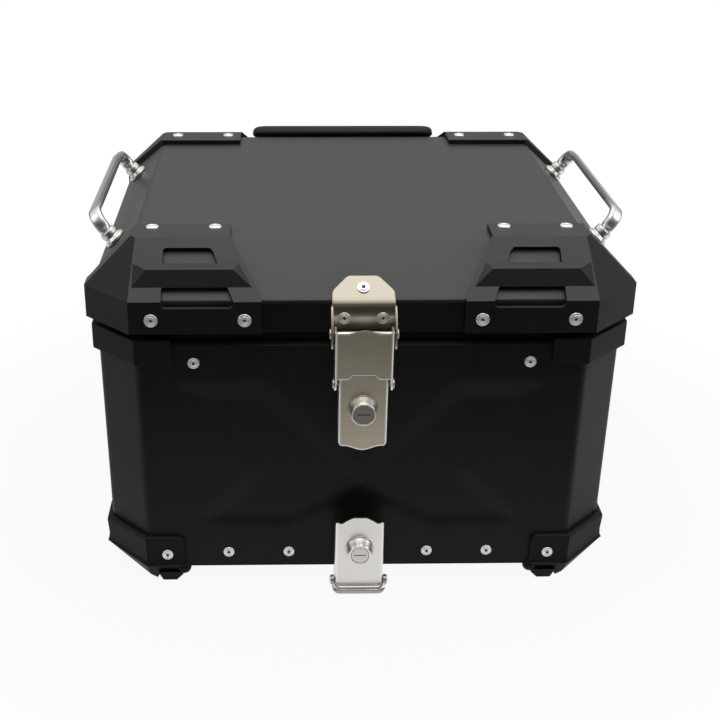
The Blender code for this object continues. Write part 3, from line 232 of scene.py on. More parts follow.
def useGroup(tree, group, **values):
    return addNode(tree, "ShaderNodeGroup", {"node_tree": group}, **values).outputs


def startFinish(name):
    material = bpy.data.materials.new(name)
    material.use_nodes = True
    return material, material.node_tree, material.node_tree.nodes["Principled BSDF"]


def addBump(tree, height, strength, depth):
    return addNode(tree, "ShaderNodeBump", Strength=strength, Distance=depth, Height=height).outputs[0]


# Black finishes: powder coat, moulded plastic, rubber and pad skin. The faces that look up are greyer: partly
# a thin film of dust, partly painted light from above. Two numbers are a range: gloss is the roughness, and
# specular goes from upright faces to those that look up, a painted sheen.
coat = dict(deep=(0.0062, 0.0061, 0.0056), pale=(0.0095, 0.0093, 0.0087), rubAndHighlight=(0.030, 0.029, 0.027),
            gloss=(0.40, 0.46), grain=1500.0, bump=0.10, depth=0.00012)
moulding = dict(deep=(0.0068, 0.0066, 0.0058), pale=(0.0108, 0.0105, 0.0096), gloss=(0.46, 0.55),
                grain=2300.0, bump=0.20, depth=0.00014)
darkLooks = dict(
    powderBlack=dict(coat, dustAndTopLight=(0.043, 0.042, 0.0404), specular=(0.16, 0.42)),
    # bodyBlack: wall faces that tilt slightly up are lighter and glossier, painted light from above on the
    # cross relief
    bodyBlack=dict(coat, ledgeLight=(0.024, 0.0237, 0.0228), dustAndTopLight=(0.037, 0.0362, 0.0348), specular=(0.165, 0.42),
                   underShine=0.42, wallShine=0.6),
    innerBlack=dict(deep=(0.009, 0.009, 0.0086), pale=(0.013, 0.0128, 0.0124), rubAndHighlight=(0.03, 0.029, 0.028),
                    dustAndTopLight=(0.016, 0.0158, 0.0152), gloss=(0.48, 0.56), specular=(0.2, 0.26), grain=1300.0,
                    bump=0.12, depth=0.00012),
    mouldedBlack=dict(moulding, rubAndHighlight=(0.040, 0.0385, 0.036), dustAndTopLight=(0.034, 0.033, 0.0312),
                      specular=(0.17, 0.40)),
    # baseBlack: almost no top light and a low, even specular, so the base corner ledge stays dark: painted
    # shade of the groove above it
    baseBlack=dict(moulding, rubAndHighlight=(0.030, 0.029, 0.027), dustAndTopLight=(0.0085, 0.0083, 0.0076), specular=(0.13, 0.13)),
    sealRubber=dict(deep=(0.007, 0.007, 0.007), pale=(0.011, 0.011, 0.011), rubAndHighlight=(0.02, 0.02, 0.02),
                    dustAndTopLight=(0.012, 0.012, 0.012), gloss=(0.70, 0.82), specular=(0.18, 0.2), grain=1100.0,
                    bump=0.25, depth=0.00015),
    padSkin=dict(deep=(0.0075, 0.0075, 0.0073), pale=(0.0115, 0.0115, 0.011), rubAndHighlight=(0.024, 0.024, 0.023),
                 dustAndTopLight=(0.012, 0.012, 0.0116), gloss=(0.48, 0.60), specular=(0.24, 0.24), grain=620.0,
                 bump=0.40, depth=0.0003),
)


def darkFinish(name):
    look = darkLooks[name]
    material, tree, shader = startFinish(name)
    grain = useGroup(tree, grainGroup, Scale=look["grain"])
    tilt = useGroup(tree, upGroup)
    drift, up = grain["Drift"], tilt["Mask"]
    ground = mixColour(tree, mapTo(tree, drift, 0.0, 1.0), look["deep"], look["pale"])
    # Specular grows on faces that look up: a painted sheen from above
    gleam = addRamp(tree, up, 0.0, 1.0, *look["specular"], "LINEAR")
    if "ledgeLight" in look:
        # Painted light: wall faces that tilt slightly up take a lighter colour
        ground = mixColour(tree, tilt["Ledge"], ground, look["ledgeLight"])
        # A share of the shine is left where the wall tilts down, and more is added where it does not: a
        # painted sheen on the relief.
        added = addMath(tree, "MULTIPLY", tilt["Under"], look["wallShine"])
        gleam = addMath(tree, "MULTIPLY", gleam, addMath(tree, "ADD", look["underShine"], added))
    # Faces that look up are made greyer: partly dust, partly painted light from above
    dustedAndTopLit = mixColour(tree, addMath(tree, "MULTIPLY", up, mapTo(tree, drift, 0.9, 1.0)), ground, look["dustAndTopLight"])
    # Edges are made lighter: partly wear, partly a painted highlight
    wearAndHighlight = addMath(tree, "MULTIPLY", useGroup(tree, rubAndHighlightGroup)["Mask"], 0.5)
    setInputs(tree, shader, Base_Color=mixColour(tree, wearAndHighlight, dustedAndTopLit, look["rubAndHighlight"]),
              Roughness=mapTo(tree, drift, *look["gloss"]), Specular_IOR_Level=gleam,
              Normal=addBump(tree, grain["Height"], look["bump"], look["depth"]))
    return material


# Metals: colour drift, brushed lines across or along, roughness range. Some are brighter where a piece is
# marked for wear and painted highlight, and darker where it is marked with painted shade on the bracket and a
# painted reflection of the lid on the handles.
steelLines, keyLines, rivetLines = (60.0, 1500.0, 1500.0), (120.0, 900.0, 1400.0), (700.0, 700.0, 700.0)
metalLooks = dict(
    # satinSteel and bracketSteel stand for one satin steel: satinSteel, lighter, for the upright link, lever
    # and ears, and bracketSteel, darker, for the bracket sheet whose sloped plate faces the light from above.
    # The difference between them is painted light and shade.
    satinSteel=dict(deep=(0.62, 0.548, 0.42), pale=(0.76, 0.685, 0.545), gloss=(0.28, 0.37),
                    stretch=steelLines, bump=0.06, wearAndHighlight=(0.97, 0.95, 0.91)),
    bracketSteel=dict(deep=(0.385, 0.348, 0.276), pale=(0.465, 0.426, 0.345), gloss=(0.27, 0.36),
                      stretch=steelLines, bump=0.06, wearAndHighlight=(0.97, 0.93, 0.84), paintedDark=(0.07, 0.058, 0.04),
                      metal=0.6),
    brightSteel=dict(deep=(0.80, 0.775, 0.735), pale=(0.90, 0.88, 0.845), gloss=(0.28, 0.37),
                     stretch=steelLines, bump=0.05, wearAndHighlight=(0.98, 0.97, 0.96)),
    stirrupSteel=dict(deep=(0.39, 0.378, 0.355), pale=(0.47, 0.458, 0.434), gloss=(0.26, 0.34),
                      stretch=steelLines, bump=0.05),
    polishedAlloy=dict(deep=(0.70, 0.695, 0.67), pale=(0.79, 0.785, 0.76), gloss=(0.30, 0.37),
                       # polishedAlloy darkens where marked: a painted reflection of the black lid on the
                       # handles' inner edge
                       stretch=(900.0, 50.0, 900.0), bump=0.015, paintedDark=(0.27, 0.27, 0.264)),
    lockChrome=dict(deep=(0.82, 0.805, 0.77), pale=(0.92, 0.905, 0.87), gloss=(0.27, 0.33),
                    stretch=(900.0, 900.0, 900.0), bump=0.02),
    keyFace=dict(deep=(0.30, 0.283, 0.24), pale=(0.40, 0.38, 0.33), gloss=(0.34, 0.44),
                 stretch=keyLines, bump=0.08),
    keyBright=dict(deep=(0.66, 0.645, 0.61), pale=(0.76, 0.745, 0.71), gloss=(0.34, 0.42),
                   stretch=keyLines, bump=0.05),
    rivetAlloy=dict(deep=(0.90, 0.895, 0.88), pale=(0.97, 0.965, 0.95), gloss=(0.33, 0.42),
                    stretch=rivetLines, bump=0.006, metal=0.9),
    rivetCore=dict(deep=(0.07, 0.07, 0.068), pale=(0.13, 0.128, 0.124), gloss=(0.38, 0.5),
                   stretch=rivetLines, bump=0.04),
)


def metalFinish(name):
    look = metalLooks[name]
    material, tree, shader = startFinish(name)
    brush = useGroup(tree, brushGroup, Stretch=look["stretch"])
    blend = addShares(tree, brush["Lines"], brush["Drift"], 0.6)
    colour = mixColour(tree, mapTo(tree, blend, 0.0, 1.0), look["deep"], look["pale"])
    for key, mark in (("wearAndHighlight", "wearAndHighlightMark"), ("paintedDark", "paintedDarkMark")):
        if key in look:
            marked = addNode(tree, "ShaderNodeAttribute", {"attribute_name": mark}).outputs["Fac"]
            colour = mixColour(tree, marked, colour, look[key])
    setInputs(tree, shader, Base_Color=colour, Roughness=mapTo(tree, blend, *look["gloss"]),
              Metallic=look.get("metal", 1.0), Normal=addBump(tree, brush["Lines"], look["bump"], 0.0001))
    return material


finishes = {name: darkFinish(name) for name in darkLooks}
finishes.update({name: metalFinish(name) for name in metalLooks})
slotFinish = dict(black_coat="powderBlack", black_plastic="mouldedBlack", satin_steel="satinSteel",
                  bright_steel="brightSteel", polished_alloy="polishedAlloy", lock_chrome="lockChrome",
                  seal_rubber="sealRubber", pad_skin="padSkin")
print("finishes made:", len(finishes))


# A grid of points is a (rows, columns, 3) array. Its faces join each point to the next row and column,
# and wrap round where asked. Doubled points at poles and seams are merged.
def gridMesh(name, grids, wrapRows=False, wrapColumns=True, merge=True):
    points, quads, start = [], [], 0
    for grid in grids:
        rows, columns = grid.shape[:2]
        row = np.arange(rows if wrapRows else rows - 1)
        column = np.arange(columns if wrapColumns else columns - 1)
        r, c = (a.ravel() for a in np.meshgrid(row, column, indexing="ij"))
        here, after, beside = r * columns, (r + 1) % rows * columns, (c + 1) % columns
        quads.append(start + np.stack((here + c, here + beside, after + beside, after + c), 1))
        points.append(grid.reshape(-1, 3))
        start += rows * columns
    points, quads = np.concatenate(points), np.concatenate(quads)
    mesh = bpy.data.meshes.new(name)
    mesh.vertices.add(len(points))
    mesh.vertices.foreach_set("co", points.astype(np.float32).ravel())
    mesh.loops.add(quads.size)
    mesh.loops.foreach_set("vertex_index", quads.astype(np.int32).ravel())
    mesh.polygons.add(len(quads))
    mesh.polygons.foreach_set("loop_start", np.arange(0, quads.size, 4, dtype=np.int32))
    mesh.update(calc_edges=True)
    if merge:
        shape = bmesh.new()
        shape.from_mesh(mesh)
        bmesh.ops.remove_doubles(shape, verts=shape.verts, dist=2e-6)
        bmesh.ops.recalc_face_normals(shape, faces=shape.faces)
        shape.to_mesh(mesh)
        shape.free()
    return mesh


def placePiece(name, mesh, finish, body):
    mesh.polygons.foreach_set("use_smooth", np.ones(len(mesh.polygons), bool))
    mesh.update()
    mesh.materials.append(finishes[finish])
    piece = bpy.data.objects.new(name, mesh)
    bpy.context.scene.collection.objects.link(piece)
    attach(piece, body)
    return piece


def pieceFromGrids(name, grids, finish, body, slot, **options):
    return placePiece(name, gridMesh(name, grids, **options), finish, body)


def pointPlaces(piece):
    places = np.empty(len(piece.data.vertices) * 3, np.float32)
    piece.data.vertices.foreach_get("co", places)
    return places.reshape(-1, 3).astype(float)


# A mark is a number from 0 to 1 at every point, which a finish can read
def markPoints(piece, name, values):
    layer = piece.data.attributes.new(name, "FLOAT", "POINT")
    layer.data.foreach_set("value", np.ascontiguousarray(values, dtype=np.float32).ravel())


def addWall(piece, thickness):
    wall = piece.modifiers.new("wall", "SOLIDIFY")
    wall.thickness = thickness
    wall.offset = -1.0


def roundEdges(piece, width, angle, miter="MITER_SHARP"):
    # Edges that turn by more than the angle, in degrees
    bevel = piece.modifiers.new("roundEdges", "BEVEL")
    bevel.width = width
    bevel.segments = 2
    bevel.limit_method = "ANGLE"
    bevel.angle_limit = math.radians(angle)
    bevel.miter_outer = miter


def evenNormals(piece):
    modifier = piece.modifiers.new("evenNormals", "WEIGHTED_NORMAL")
    modifier.keep_sharp = True


# A finer version of a CAD node: its triangles are merged, its flat faces joined, and its edges rounded
def fineCopy(node, width, finish, angle):
    shape = bmesh.new()
    shape.from_mesh(nodes[node].data)
    bmesh.ops.remove_doubles(shape, verts=shape.verts, dist=1e-5)
    bmesh.ops.dissolve_limit(shape, angle_limit=math.radians(0.6), verts=shape.verts, edges=shape.edges)
    mesh = bpy.data.meshes.new(node + "_fine")
    shape.to_mesh(mesh)
    shape.free()
    if "custom_normal" in mesh.attributes:
        mesh.attributes.remove(mesh.attributes["custom_normal"])
    piece = placePiece(node + "_fine", mesh, finish, bodyOfNode[node])
    roundEdges(piece, width, angle, "MITER_ARC")
    evenNormals(piece)
    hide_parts(node)


# Edge rounding of each CAD node that keeps its CAD form, metres
edgeRounding = {"rim_frame": 0.0004, "bottom_pan": 0.0006, "lid_shell": 0.0005, "lid_seal": 0.0012,
                "latch_keeper": 0.0004, "base_latch_bracket": 0.0004, "lock_nut": 0.0006,
                "base_lock_nut": 0.0006, "lock_cam": 0.0004, "base_lock_cam": 0.0004, "lock_plug": 0.00015,
                "base_lock_plug": 0.00015}
for sx, sy, corner in corners:
    edgeRounding.update({"lid_corner_" + corner: 0.0008, "rim_corner_" + corner: 0.0008})
for side, hand in hands:
    edgeRounding.update({"hinge_lid_leaf_" + hand: 0.0003, "hinge_body_leaf_" + hand: 0.0003,
                         "hinge_pin_" + hand: 0.0003, "mount_hook_" + hand: 0.0006})
edgeRounding["base_lever_pin"] = 0.0003
ownFinish = {"lock_plug": "keyFace", "base_lock_plug": "keyBright", "bottom_pan": "innerBlack"}
ownFinish.update({"rim_corner_" + corner: "baseBlack" for sx, sy, corner in corners})
edgeAngle = dict(plain=28.0, guard=10.0)
for node, width in edgeRounding.items():
    angle = edgeAngle["guard" if node.startswith("lid_corner") else "plain"]
    fineCopy(node, width, ownFinish.get(node, slotFinish[slotOfNode[node]]), angle)
print("finer copies:", len(edgeRounding))


# A soft step from 0 to 1, level at both ends
def softStep(value):
    value = np.clip(value, 0, 1)
    return value * value * (3 - 2 * value)


# A curve from the first point to the last, drawn towards the corner between them
def cornerCurve(first, corner, last, count):
    t = np.linspace(0, 1, count)[:, None]
    return (1 - t) ** 2 * first + 2 * t * (1 - t) * corner + t ** 2 * last


# A sine or cosine squared off: two divided by the power is its exponent, and it keeps its sign
def squareOff(wave, power):
    return np.sign(wave) * np.abs(wave) ** (2 / power)


# The first half of a path, then its mirror image without the middle point again
def mirrored(values, sign):
    return np.concatenate((values, sign * values[-2::-1]))


# A row at the middle of each end row closes that end
def closeEnds(grid):
    first, last = (np.broadcast_to(row.mean(0), row.shape) for row in (grid[0], grid[-1]))
    return np.concatenate((first[None], grid, last[None]))


# Turned piece: a profile of (radius, height) carried round an axis
def turnGrid(profile, place, axis, steps):
    profile = np.asarray(profile, float)
    axis = np.asarray(axis, float) / np.linalg.norm(axis)
    side = np.cross(axis, (0.0, 0.0, 1.0) if abs(axis[2]) < 0.9 else (1.0, 0.0, 0.0))
    side /= np.linalg.norm(side)
    other = np.cross(axis, side)
    angle = np.linspace(0, 2 * np.pi, steps, endpoint=False)
    ring = np.cos(angle)[:, None] * side + np.sin(angle)[:, None] * other
    return np.asarray(place) + profile[:, 0, None, None] * ring + profile[:, 1, None, None] * axis


# Rounded profile: each inner corner becomes a short curve between points a set distance before and after it,
# or 0.45 of the way along a side that is too short for that
def roundProfile(profile, distance, count=4):
    profile = np.asarray(profile, float)
    out = [profile[:1]]
    for before, corner, after in zip(profile[:-2], profile[1:-1], profile[2:]):
        first, last = (corner + (end - corner) * min(0.45, distance / max(np.linalg.norm(end - corner), 1e-9))
                       for end in (before, after))
        out.append(cornerCurve(first, corner, last, count))
    return np.concatenate((*out, profile[-1:]))


# Rivets: a flat rim, a ring groove, a low dome and an eye with the dark stub of the drawn pin in it
rivet = dict(dome=0.0016, rim=0.0012, groove=0.00085, eye=0.00125, sunk=0.0002, round=0.00015, steps=36)


def rivetGrids(place, axis, radius):
    dome, rim, groove, eye = (rivet[key] for key in ("dome", "rim", "groove", "eye"))
    edge = [(radius, -rivet["sunk"]), (radius, rim * 0.45), (radius - 0.0003, rim * 0.85),
            (radius - 0.0008, rim)]
    ring = [(radius * 0.76, rim), (radius * 0.71, groove), (radius * 0.66, groove),
            (radius * 0.60, rim + 0.0001)]
    crown = [(radius * 0.48, dome - 0.0001), (eye + 0.0006, dome), (eye + 0.0001, dome - 0.0003),
             (eye, 0.0002)]
    core = [(eye, 0.0003), (eye - 0.0003, 0.0005), (0.0, 0.0006)]
    head = roundProfile(edge + ring + crown, rivet["round"], 3)
    return [turnGrid(profile, place, axis, rivet["steps"]) for profile in (head, core)]


def makeRivets(name, places, body):
    made = [rivetGrids((x, y + caseShift, z), axis, radius) for (x, y, z), axis, radius in places]
    heads, cores = zip(*made)
    pieceFromGrids(name, heads, "rivetAlloy", body, "polished_alloy")
    pieceFromGrids(name + "Cores", cores, "rivetCore", body, "polished_alloy")


# Where the rivets sit, in case coordinates, and their head radius. The rows on the front and back faces are
# mirror images.
topRivets = dict(across=(0.1147, 0.1645), front=-0.1355, back=0.1460, height=lid["top"] + lid["guardOut"],
                 radius=0.0052)
faceRivets = dict(
    guardFace=dict(across=(0.0906, 0.16175), out=lid["halfY"] + lid["guardOut"], height=0.2395,
                   radius=0.0053),
    wallTop=dict(across=(0.131,), out=0.2002, height=0.2012, radius=0.0047),
    wallFoot=dict(across=(0.0574, 0.1074), out=0.1979, height=0.027, radius=0.0046),
    wallCorner=dict(across=(0.158,), out=0.2016, height=0.027, radius=0.0046),
)


def rivetRow(name):
    row = faceRivets[name]
    return [((sx * x, sy * row["out"], row["height"]), (0, sy, 0), row["radius"])
            for sx, sy in quarters for x in row["across"]]


guardRivets = [((sx * x, topRivets["front" if sy < 0 else "back"], topRivets["height"]), (0, 0, 1),
                topRivets["radius"]) for sx, sy in quarters for x in topRivets["across"]]
guardRivets += rivetRow("guardFace")
makeRivets("guardRivets", guardRivets, "lid")
wallRivets = rivetRow("wallTop") + rivetRow("wallFoot") + rivetRow("wallCorner")
makeRivets("wallRivets", wallRivets, "case")
print("rivets:", len(guardRivets) + len(wallRivets))


# Strap windows of the lid guards: a small curved fillet in each outer corner
window = dict(nearX=0.1536, upperX=0.1161, lowerX=0.0991, upperY=0.16741, upperZ=0.28395, lowerY=0.2063,
              lowerZ=0.24893, upperRound=0.0026, lowerRound=0.0036, depth=0.0039, cover=0.0011, lift=0.00005)


def windowFillet(corner, along, into, out, radius):
    # A fan from beyond the corner to an arc that touches both sides of the window, carried down through
    # the guard
    cover = window["cover"]
    turn = np.linspace(0, np.pi / 2, 9)[:, None]
    arc = corner + radius * (along + into) - radius * (np.cos(turn) * into + np.sin(turn) * along)
    first = corner + radius * along - cover * into
    last = corner + radius * into - cover * along
    arc = np.concatenate(([first], arc, [last]))
    apex = np.broadcast_to(corner - cover * (along + into), arc.shape)
    top, bottom = window["lift"] * out, -window["depth"] * out
    return np.stack((apex + top, arc + top, arc + bottom, apex + bottom))


def makeWindowFillets():
    acrossX, outY, upZ = np.eye(3)
    downSlope = np.array((0.0, math.cos(slopeY), -math.sin(slopeY)))
    offSlope = np.array((0.0, math.sin(slopeY), math.cos(slopeY)))
    grids = []
    for sx, sy in quarters:
        for level, into, out in (("upper", downSlope, offSlope), ("lower", upZ, outY)):
            for x, sign in ((window["nearX"], -1), (window[level + "X"], 1)):
                place = np.array((x, window[level + "Y"], window[level + "Z"]))
                fillet = windowFillet(place, sign * acrossX, into, out, window[level + "Round"])
                grids.append(fillet * (sx, sy, 1.0) + toCase)
    piece = pieceFromGrids("windowFillets", grids, "mouldedBlack", "lid", "black_plastic", wrapColumns=False)
    piece.data.polygons.foreach_set("use_smooth", np.zeros(len(piece.data.polygons), bool))


makeWindowFillets()
print("window corners rounded")


# Body wall: an eight-sided outline with rounded corners, carried up the wall with a slight taper.
# The front panel carries a raised cross with broad soft flanks.
bodyWall = dict(halfX=0.2085, halfY=0.1995, chamfer=0.034, taper=0.009, bottom=0.013, top=0.214, corner=0.004,
                wall=0.0018, round=0.0005, rows=84, panelSteps=150, sideSteps=14, cornerSteps=6)
cross = dict(corners=[(-0.138, 0.177), (-0.077, 0.178), (0.0, 0.100), (0.077, 0.178), (0.138, 0.177),
                      (0.081, 0.105), (0.124, 0.060), (0.060, 0.0565), (0.0, 0.086), (-0.060, 0.0565),
                      (-0.124, 0.060), (-0.081, 0.105)],
             flank=0.020, rise=0.0018)


def crossHeight(x, z):
    # Distance to the nearest side of the cross outline, counted positive inside it, as a soft step over the
    # flank
    point = np.stack((x, z), -1)
    outline = np.array(cross["corners"])
    nearest = np.full(x.shape, 1.0)
    inside = np.zeros(x.shape, bool)
    for here, after in zip(outline, np.roll(outline, -1, axis=0)):
        side = after - here
        along = np.clip(((point - here) @ side) / (side @ side), 0, 1)
        nearest = np.minimum(nearest, np.linalg.norm(point - here - along[..., None] * side, axis=-1))
        crosses = (here[1] > z) != (after[1] > z)
        inside ^= crosses & (x < side[0] * (z - here[1]) / (side[1] if side[1] else 1.0) + here[0])
    return cross["rise"] * softStep(0.5 + np.where(inside, 1, -1) * nearest / cross["flank"])


def octagonOutline(halfX, halfY):
    # Corner points in order from the front left, then each side is cut back by the corner distance and joined
    # to the next one by a short curve
    x, y = halfX - bodyWall["chamfer"], halfY - bodyWall["chamfer"]
    raw = np.array([(-x, -halfY), (x, -halfY), (halfX, -y), (halfX, y), (x, halfY), (-x, halfY), (-halfX, y),
                    (-halfX, -y)])
    points = []
    for index, here in enumerate(raw):
        back, onward = (end - here for end in (raw[index - 1], raw[(index + 1) % 8]))
        back = back / np.linalg.norm(back) * bodyWall["corner"]
        step = onward / np.linalg.norm(onward) * bodyWall["corner"]
        points.append(cornerCurve(here + back, here, here + step, bodyWall["cornerSteps"]))
        count = bodyWall["sideSteps"] if index else bodyWall["panelSteps"]
        start, end = here + step, here + onward - step
        points.append(start + np.linspace(0, 1, count + 2)[1:-1, None] * (end - start))
    return np.concatenate(points)


def makeBodyWall():
    size, rows = bodyWall, []
    for level in np.linspace(size["bottom"], size["top"], size["rows"]):
        lean = size["taper"] * (size["top"] - level)
        x, y = octagonOutline(size["halfX"] - lean, size["halfY"] - lean).T
        z = np.full(len(x), level)
        front = y < -(size["halfY"] - lean) + 1e-7
        rows.append(np.column_stack((x, y - np.where(front, crossHeight(x, z), 0.0) + caseShift, z)))
    piece = pieceFromGrids("bodyWall", [np.array(rows)], "bodyBlack", "case", "black_coat")
    addWall(piece, size["wall"])
    roundEdges(piece, size["round"], angle=50.0)
    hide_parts("body_shell")


makeBodyWall()
print("body wall made")


# Base corners: a section of ledge, shoulder, waist, flare and underside, carried round a corner of the body.
# The underside drops towards the front wing, and the top of each wing is rounded off at its end.
baseCorner = dict(reach=0.030, top=0.0435, wall=0.00153, proud=0.0044, waist=0.0034, waistTop=0.0275,
                  waistLow=0.0205, flare=0.0165, flareFrom=0.0042, flareGain=0.22, shelf=0.022, round=0.0052,
                  sideLow=0.0175, sideEndLow=0.0170, frontLow=0.0066, frontFrom=0.012, edge=0.0006,
                  endCurve=((0.0, 0.0), (0.0002, 0.35), (0.0012, 0.65), (0.0028, 0.88), (0.0052, 1.0)),
                  drop=((0.0, 0.0040), (0.0062, 0.0009), (0.0076, 0.0036)))
# Foot levels: the sides of a block in x, those in y, and the height, from the top down
baseFoot = dict(levels=((0.1450, 0.1662, 0.1800, 0.2008, 0.0090), (0.1462, 0.1656, 0.1806, 0.2002, 0.0060),
                        (0.1512, 0.1630, 0.1814, 0.1994, 0.0006), (0.1518, 0.1624, 0.1820, 0.1988, 0.0)),
                edge=0.0008)
baseToe = dict(place=(0.1452, 0.1968, 0.0122), size=(0.0062, 0.0050, 0.0062), rings=9, around=16)


def baseSection(low, top):
    # Distance out of the wall line, and height
    proud, waist = baseCorner["proud"], baseCorner["waist"]
    flare = baseCorner["flare"] + (low - baseCorner["flareFrom"]) * baseCorner["flareGain"]
    return np.array([(-0.0004, top), (proud - 0.0022, top - 0.0003), (proud - 0.0004, top - 0.0016),
                     (proud, top - 0.0036), (waist, baseCorner["waistTop"]),
                     (waist + 0.0003, baseCorner["waistLow"]), (proud + 0.0006, flare),
                     (proud - 0.0002, flare - 0.0008), (-0.0016, low), (-0.0032, low - 0.0002),
                     (-baseCorner["shelf"], low)])


def baseStations():
    # Plan points of the wall line with the direction out of it, longer at a bend, then the height of the
    # underside and how far the top has come up from its rounded end
    halfX, halfY = (bodyWall[key] - baseCorner["wall"] for key in ("halfX", "halfY"))
    chamfer = bodyWall["chamfer"] - (2 - math.sqrt(2)) * baseCorner["wall"]
    first, second = np.array((halfX, halfY - chamfer)), np.array((halfX - chamfer, halfY))
    side, front = np.eye(2)
    bend = np.radians(22.5)
    sideBend, frontBend = (np.array((np.cos(a), np.sin(a))) / np.cos(bend) for a in (bend, 3 * bend))
    reach, curve, frontLow = baseCorner["reach"], baseCorner["endCurve"], baseCorner["frontLow"]
    rows = [(first - (reach - step) * front, side, baseCorner["sideEndLow"], share) for step, share in curve]
    rows.append((first, sideBend, baseCorner["sideLow"], 1.0))
    for step, low in (*baseCorner["drop"], (baseCorner["frontFrom"], frontLow)):
        rows.append((second - step * side, front if step else frontBend, low, 1.0))
    rows += [(second - (reach - step) * side, front, frontLow, share) for step, share in reversed(curve)]
    return rows


def wingGrid():
    rows = []
    for place, out, low, share in baseStations():
        section = baseSection(low, baseCorner["top"] - baseCorner["round"] * (1 - share))
        rows.append(np.column_stack((place + section[:, :1] * out, section[:, 1])))
    # Each end is closed by a row that stays on its first plan point
    ends = [np.column_stack((np.broadcast_to(row[0, :2], (len(row), 2)), row[:, 2]))
            for row in (rows[0], rows[-1])]
    return np.array([ends[0], *rows, ends[1]])


def footGrid():
    # A block that narrows downwards, more on its inner side, closed by a sole
    rows = [np.array([(x0, y0, z), (x1, y0, z), (x1, y1, z), (x0, y1, z)])
            for x0, x1, y0, y1, z in baseFoot["levels"]]
    return np.array([*rows, np.broadcast_to(rows[-1].mean(0), (4, 3))])


def toeGrid():
    # A small lobe at the inner end of the wing: a ball with its own size along each axis
    polar = np.linspace(0, np.pi, baseToe["rings"])
    turn = np.linspace(0, 2 * np.pi, baseToe["around"], endpoint=False)
    polar, turn = np.meshgrid(polar, turn, indexing="ij")
    ball = np.stack((np.sin(polar) * np.cos(turn), np.sin(polar) * np.sin(turn), np.cos(polar)), 2)
    return np.array(baseToe["place"]) + np.array(baseToe["size"]) * ball


def makeBaseCorner(sx, sy, corner):
    wing, foot, toe = (grid * (sx, sy, 1.0) + toCase for grid in (wingGrid(), footGrid(), toeGrid()))
    made = "baseBlack", "case", "black_plastic"
    piece = pieceFromGrids("baseWing_" + corner, [wing], *made, wrapColumns=False)
    roundEdges(piece, baseCorner["edge"], angle=24.0)
    evenNormals(piece)
    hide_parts("base_corner_" + corner)
    piece = pieceFromGrids("baseFoot_" + corner, [foot], *made)
    roundEdges(piece, baseFoot["edge"], angle=30.0)
    evenNormals(piece)
    pieceFromGrids("baseToe_" + corner, [toe], *made)


for sx, sy, corner in corners:
    makeBaseCorner(sx, sy, corner)
print("base corners made")


# Handles: a flat strip with rounded edges, carried along a path of two posts and a level run.
# Near the posts the strip turns into a round neck.
handle = dict(halfSpan=0.094, down=0.62, lean=36.0, standoff=0.028, bend=0.012, halfWidth=0.0058,
              halfThickness=0.0027, neck=0.0054, start=0.0116, power=3.4, around=48, neckSteps=6,
              bendSteps=13, runSteps=15, leanBy=0.4, paintedDarkFrom=0.45, paintedDarkFade=0.35, paintedDarkEnd=0.036)
post = dict(flange=0.0095, flangeDepth=0.0038, collar=0.0072, height=0.011, gap=0.0003, round=0.0006,
            steps=48)


def handleFrame(side):
    # The middle of the handle's foot line on the end slope, and the direction out of the slope
    foot = np.array((side * (lid["topHalfX"] + (lid["halfX"] - lid["topHalfX"]) * handle["down"]), caseShift,
                     lid["top"] - (lid["top"] - lid["crease"]) * handle["down"]))
    return foot, np.array((side * math.sin(slopeX), 0.0, math.cos(slopeX)))


def handlePath():
    # Place along, height, turn and flatness for one half, then its mirror image
    span, bend, level = handle["halfSpan"], handle["bend"], handle["standoff"]
    necks, bends, runs = (handle[key] for key in ("neckSteps", "bendSteps", "runSteps"))
    neck = np.linspace(handle["start"], level - bend, necks)
    turn = np.radians(np.linspace(180, 90, bends + 1)[1:])
    run = np.linspace(-span + bend, 0, runs + 1)[1:]
    along = np.concatenate((np.full(necks, -span), -span + bend + bend * np.cos(turn), run))
    height = np.concatenate((neck, level - bend + bend * np.sin(turn), np.full(runs, level)))
    angle = np.concatenate((np.full(necks, 90.0), np.degrees(turn) - 90, np.zeros(runs)))
    flat = np.concatenate((softStep(np.linspace(0, 0.55, necks)), np.linspace(0.62, 1.0, bends),
                           np.ones(runs)))
    return mirrored(along, -1), mirrored(height, 1), mirrored(angle, -1), mirrored(flat, 1)


